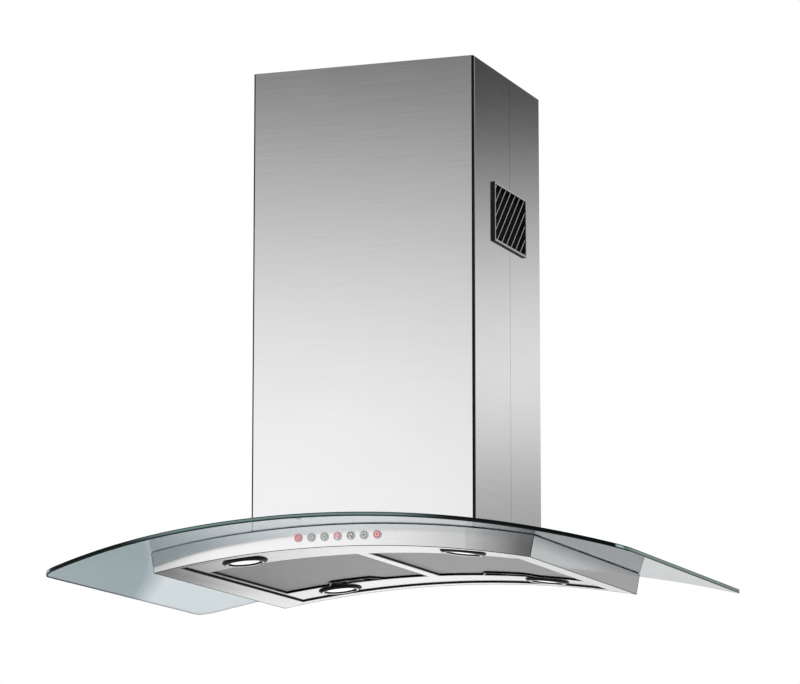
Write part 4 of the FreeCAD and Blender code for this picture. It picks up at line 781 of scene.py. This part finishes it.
def signs():
    # one list of strips for each button, left to right
    rim = sector(3.9, 4.5)
    dot = sector(0.02, 0.85)
    fan = [sector(3.6, 4.6, -15, 235), dot, sector(0.02, 1.1, middle=(2.5, -2.4)),
           bar(0.3, -0.4, 2.1, -2.0, 0.9)]
    return [
        [sector(3.6, 4.7), bar(-2.2, -2.2, 2.2, 2.2, 1.1), bar(-2.2, 2.2, 2.2, -2.2, 1.1)],
        [rim, bar(0, -1.9, 0, 1.9, 0.9)],
        [rim, dot, bar(-0.2, 0.9, -0.2, 2.2, 0.7), sector(0.02, 0.7, middle=(1.7, -1.6))],
        fan,
        fan,
        [rim, sector(0.02, 1.3)],
        [sector(3.5, 4.8), sector(0.02, 1.7)],
    ]


def makeMark(number, strips, surface):
    m = marks
    x = m["offset"] + (number - m["middle"]) * m["pitch"]
    front = m["bowCentre"] - math.sqrt(m["bow"] ** 2 - x * x) - m["proud"]
    root, crest = front + m["sunk"], front - m["relief"]
    points, faces = [], []
    for strip in strips:
        first = len(points)
        closed = (Vector(strip[0][0]) - Vector(strip[-1][0])).length < 1e-6
        pairs = strip[:-1] if closed else strip
        for inner, outer in pairs:
            for across, y in ((inner, root), (outer, root), (outer, crest), (inner, crest)):
                points.append((x + across[0] / 1000, y, m["drop"] + across[1] / 1000))
        count = len(pairs)
        for k in range(count if closed else count - 1):
            low, high = first + 4 * k, first + 4 * ((k + 1) % count)
            faces += [(low + a, low + (a + 1) % 4, high + (a + 1) % 4, high + a) for a in range(4)]
        if not closed:
            faces += [tuple(range(start, start + 4)) for start in (first, first + 4 * (count - 1))]
    mesh = meshOf("buttonSign_%d" % (number + 1), points, faces, smooth=False)
    newPiece("buttonSign_%d" % (number + 1), mesh, "button_%d" % (number + 1), "button", surface)


darkMark = moulded("buttonMark", deeper(marks["plain"], 0.8), marks["plain"], 0.5)
litMark = litSymbol("litMark", marks["lamp"], marks["glow"])
for number, strips in enumerate(signs()):
    makeMark(number, strips, litMark if number in marks["lit"] else darkMark)
print("button signs made")

# the stage, the world and the camera
room = {"floor": -7.0, "half": 45.0, "colour": 0.86, "glow": 0.25}      # low, for views from below


def stageCard(name, corners, surface):
    mesh = bpy.data.meshes.new(name)
    mesh.from_pydata(corners, [], [(0, 1, 2, 3)])
    mesh.materials.append(surface)
    card = bpy.data.objects.new(name, mesh)
    bpy.context.scene.collection.objects.link(card)
    return card


def makeFloor():
    half = room["half"]
    finish = Finish("paleFloor")
    sockets = {"Base Color": grey(room["colour"]), "Roughness": 0.7}
    plain = finish.node("ShaderNodeBsdfPrincipled", None, sockets)
    glow = finish.node("ShaderNodeEmission", None, {"Color": grey(1.0), "Strength": room["glow"]})
    both = finish.node("ShaderNodeAddShader", None, {0: plain, 1: glow})
    shown = finish.node("ShaderNodeMixShader", None, {0: finish.seen(), 1: plain, 2: both})
    finish.node("ShaderNodeOutputMaterial", None, {"Surface": shown})
    corners = [(x * half, y * half, room["floor"]) for x, y in ((-1, -1), (1, -1), (1, 1), (-1, 1))]
    floor = stageCard("studioFloor", corners, finish.owner)
    floor.visible_glossy = False      # the world stands in for its brightness in metal and glass


# what polished faces mirror, by direction in degrees: height up or down from level, turn to the left from
# straight ahead of the hood, back to the right from straight behind it
sky = {"base": 0.05, "gain": 1.03, "low": (15.6, 8.2),
       "frontNear": (-2.0, 12.0), "frontFar": (10.0, 21.5), "frontShares": (0.4, 0.6),
       "frontFade": (50.0, 25.0, 0.45, 1.0), "frontEnd": (110.0, 60.0),
       "sideMiddle": 95, "side": (32.0, 18.0), "sideLevel": 0.75,
       "rear": (62.0, 46.0), "rearLow": (13.8, 9.2), "rearDusk": (7.2, 9.4), "rearLevel": 0.78,
       "dusk": (5.0, -12.0, 0.42, 0.85), "ceiling": (34.0, 60.0), "ceilingLevel": 0.95,
       "awayFront": (20, 45.0, 65.0), "awayRear": (19, 30.0, 50.0), "awayHeight": (7.0, 14.0),
       "awayLevel": 0.72, "ground": (0.5, -7.0), "groundLevel": 0.97, "light": (-30.0, 60.0, 0.62, 0.95)}


def mirroredSky(finish, slope, turn, back):
    s = sky
    height = slope.math("ABSOLUTE")
    near, far = s["frontShares"]
    front = finish.rise(turn, *s["frontNear"]) * near + finish.rise(turn, *s["frontFar"]) * far
    front = front * finish.rise(turn, *s["frontFade"]) * finish.rise(turn, *s["frontEnd"])
    fromSide = (back.math("ABSOLUTE") - s["sideMiddle"]).math("ABSOLUTE")
    sides = finish.rise(fromSide, *s["side"]) * s["sideLevel"]
    dusk = finish.rise(back, *s["dusk"])
    rear = finish.rise(height, *s["rearLow"]) * finish.rise(height, *s["rearDusk"], dusk, 1.0)
    rear = rear * finish.rise(back.math("ABSOLUTE"), *s["rear"]) * s["rearLevel"]
    level = (finish.rise(height, *s["low"]) * (front + sides) + rear) * s["gain"] + s["base"]
    away = finish.rise(height, *s["awayHeight"]) * s["awayLevel"]
    for angle, name in ((turn, "awayFront"), (back, "awayRear")):
        middle, inner, outer = s[name]
        away = away * finish.rise((angle - middle).math("ABSOLUTE"), inner, outer)
    ceiling = finish.rise(height, *s["ceiling"])
    return level.math("MAXIMUM", away) * (1 - ceiling) + ceiling * s["ceilingLevel"]


def makeWorld():
    # even soft light and a white background; only what has been mirrored once sees the soft grey areas
    world = bpy.data.worlds.new("studio")
    bpy.context.scene.world = world
    finish = Finish("studio", world)
    x, y, z = finish.axes(finish.node("ShaderNodeTexCoord", out="Generated"))
    degree = math.pi / 180
    slope = z.math("ARCSINE") / degree
    turn = (0 - x).math("ARCTAN2", 0 - y) / degree
    level = mirroredSky(finish, slope, turn, x.math("ARCTAN2", y) / degree)
    bounces = finish.node("ShaderNodeLightPath", out="Glossy Depth")
    ground = finish.rise(slope, *sky["ground"]) * (1 - bounces.math("GREATER_THAN", 1.5))
    level = level * (1 - ground) + ground * sky["groundLevel"]
    seen = finish.seen()
    mirrored = bounces.math("MINIMUM", 1.0)
    light = finish.rise(slope, *sky["light"])
    strength = light * (1 - seen) + seen * (1 - mirrored + mirrored * level)
    shader = finish.node("ShaderNodeBackground", None, {"Color": grey(1.0), "Strength": strength})
    finish.node("ShaderNodeOutputWorld", None, {"Surface": shader})


# the flag's edge runs from height z at x, and rises by lean to the right
flag = {"y": 0.90, "right": -0.30, "left": -2.2, "top": -0.90, "bottom": -1.75, "fadeRight": -0.50,
        "fadeBottom": -1.45, "x": -0.6, "z": (-0.988, -1.010), "lean": 0.40}


def makeFlag():
    # a soft-edged black card behind the hood to the left, that only shows as a reflection
    f = flag
    finish = Finish("flagCloth")
    x, y, z = finish.axes(finish.place())
    dense = finish.rise(z - (x - f["x"]) * f["lean"], *f["z"])
    dense = dense * finish.rise(x, f["right"], f["fadeRight"]) * finish.rise(z, f["bottom"], f["fadeBottom"])
    weave = finish.noise(finish.place(), 300.0, 2.0)
    colour = finish.blendColour(weave, grey(0.02), grey(0.03))
    cloth = finish.surface(Base_Color=colour, Roughness=0.9, Alpha=dense)
    left, right, y = f["left"], f["right"], f["y"]
    corners = [(left, y, f["bottom"]), (right, y, f["bottom"]), (right, y, f["top"]), (left, y, f["top"])]
    card = stageCard("studioFlag", corners, cloth)
    card.visible_camera = card.visible_diffuse = card.visible_shadow = card.visible_transmission = False


view = {"azimuth": 20.321, "pitch": 9.888, "focal": 4029.4, "frameWidth": 800, "sensor": 36.0,
        "at": (2.0905, -5.6417, -1.4451)}


def makeCamera():
    data = bpy.data.cameras.new("photoCamera")
    data.sensor_width = view["sensor"]
    data.lens = view["focal"] * view["sensor"] / view["frameWidth"]
    camera = bpy.data.objects.new("photoCamera", data)
    camera.location = view["at"]
    camera.rotation_euler = (math.radians(90 + view["pitch"]), 0, math.radians(view["azimuth"]))
    bpy.context.scene.collection.objects.link(camera)
    bpy.context.scene.camera = camera


makeFloor()
makeWorld()
makeFlag()
makeCamera()
bpy.context.scene.view_settings.view_transform = "Standard"
print("stage, world and camera made")
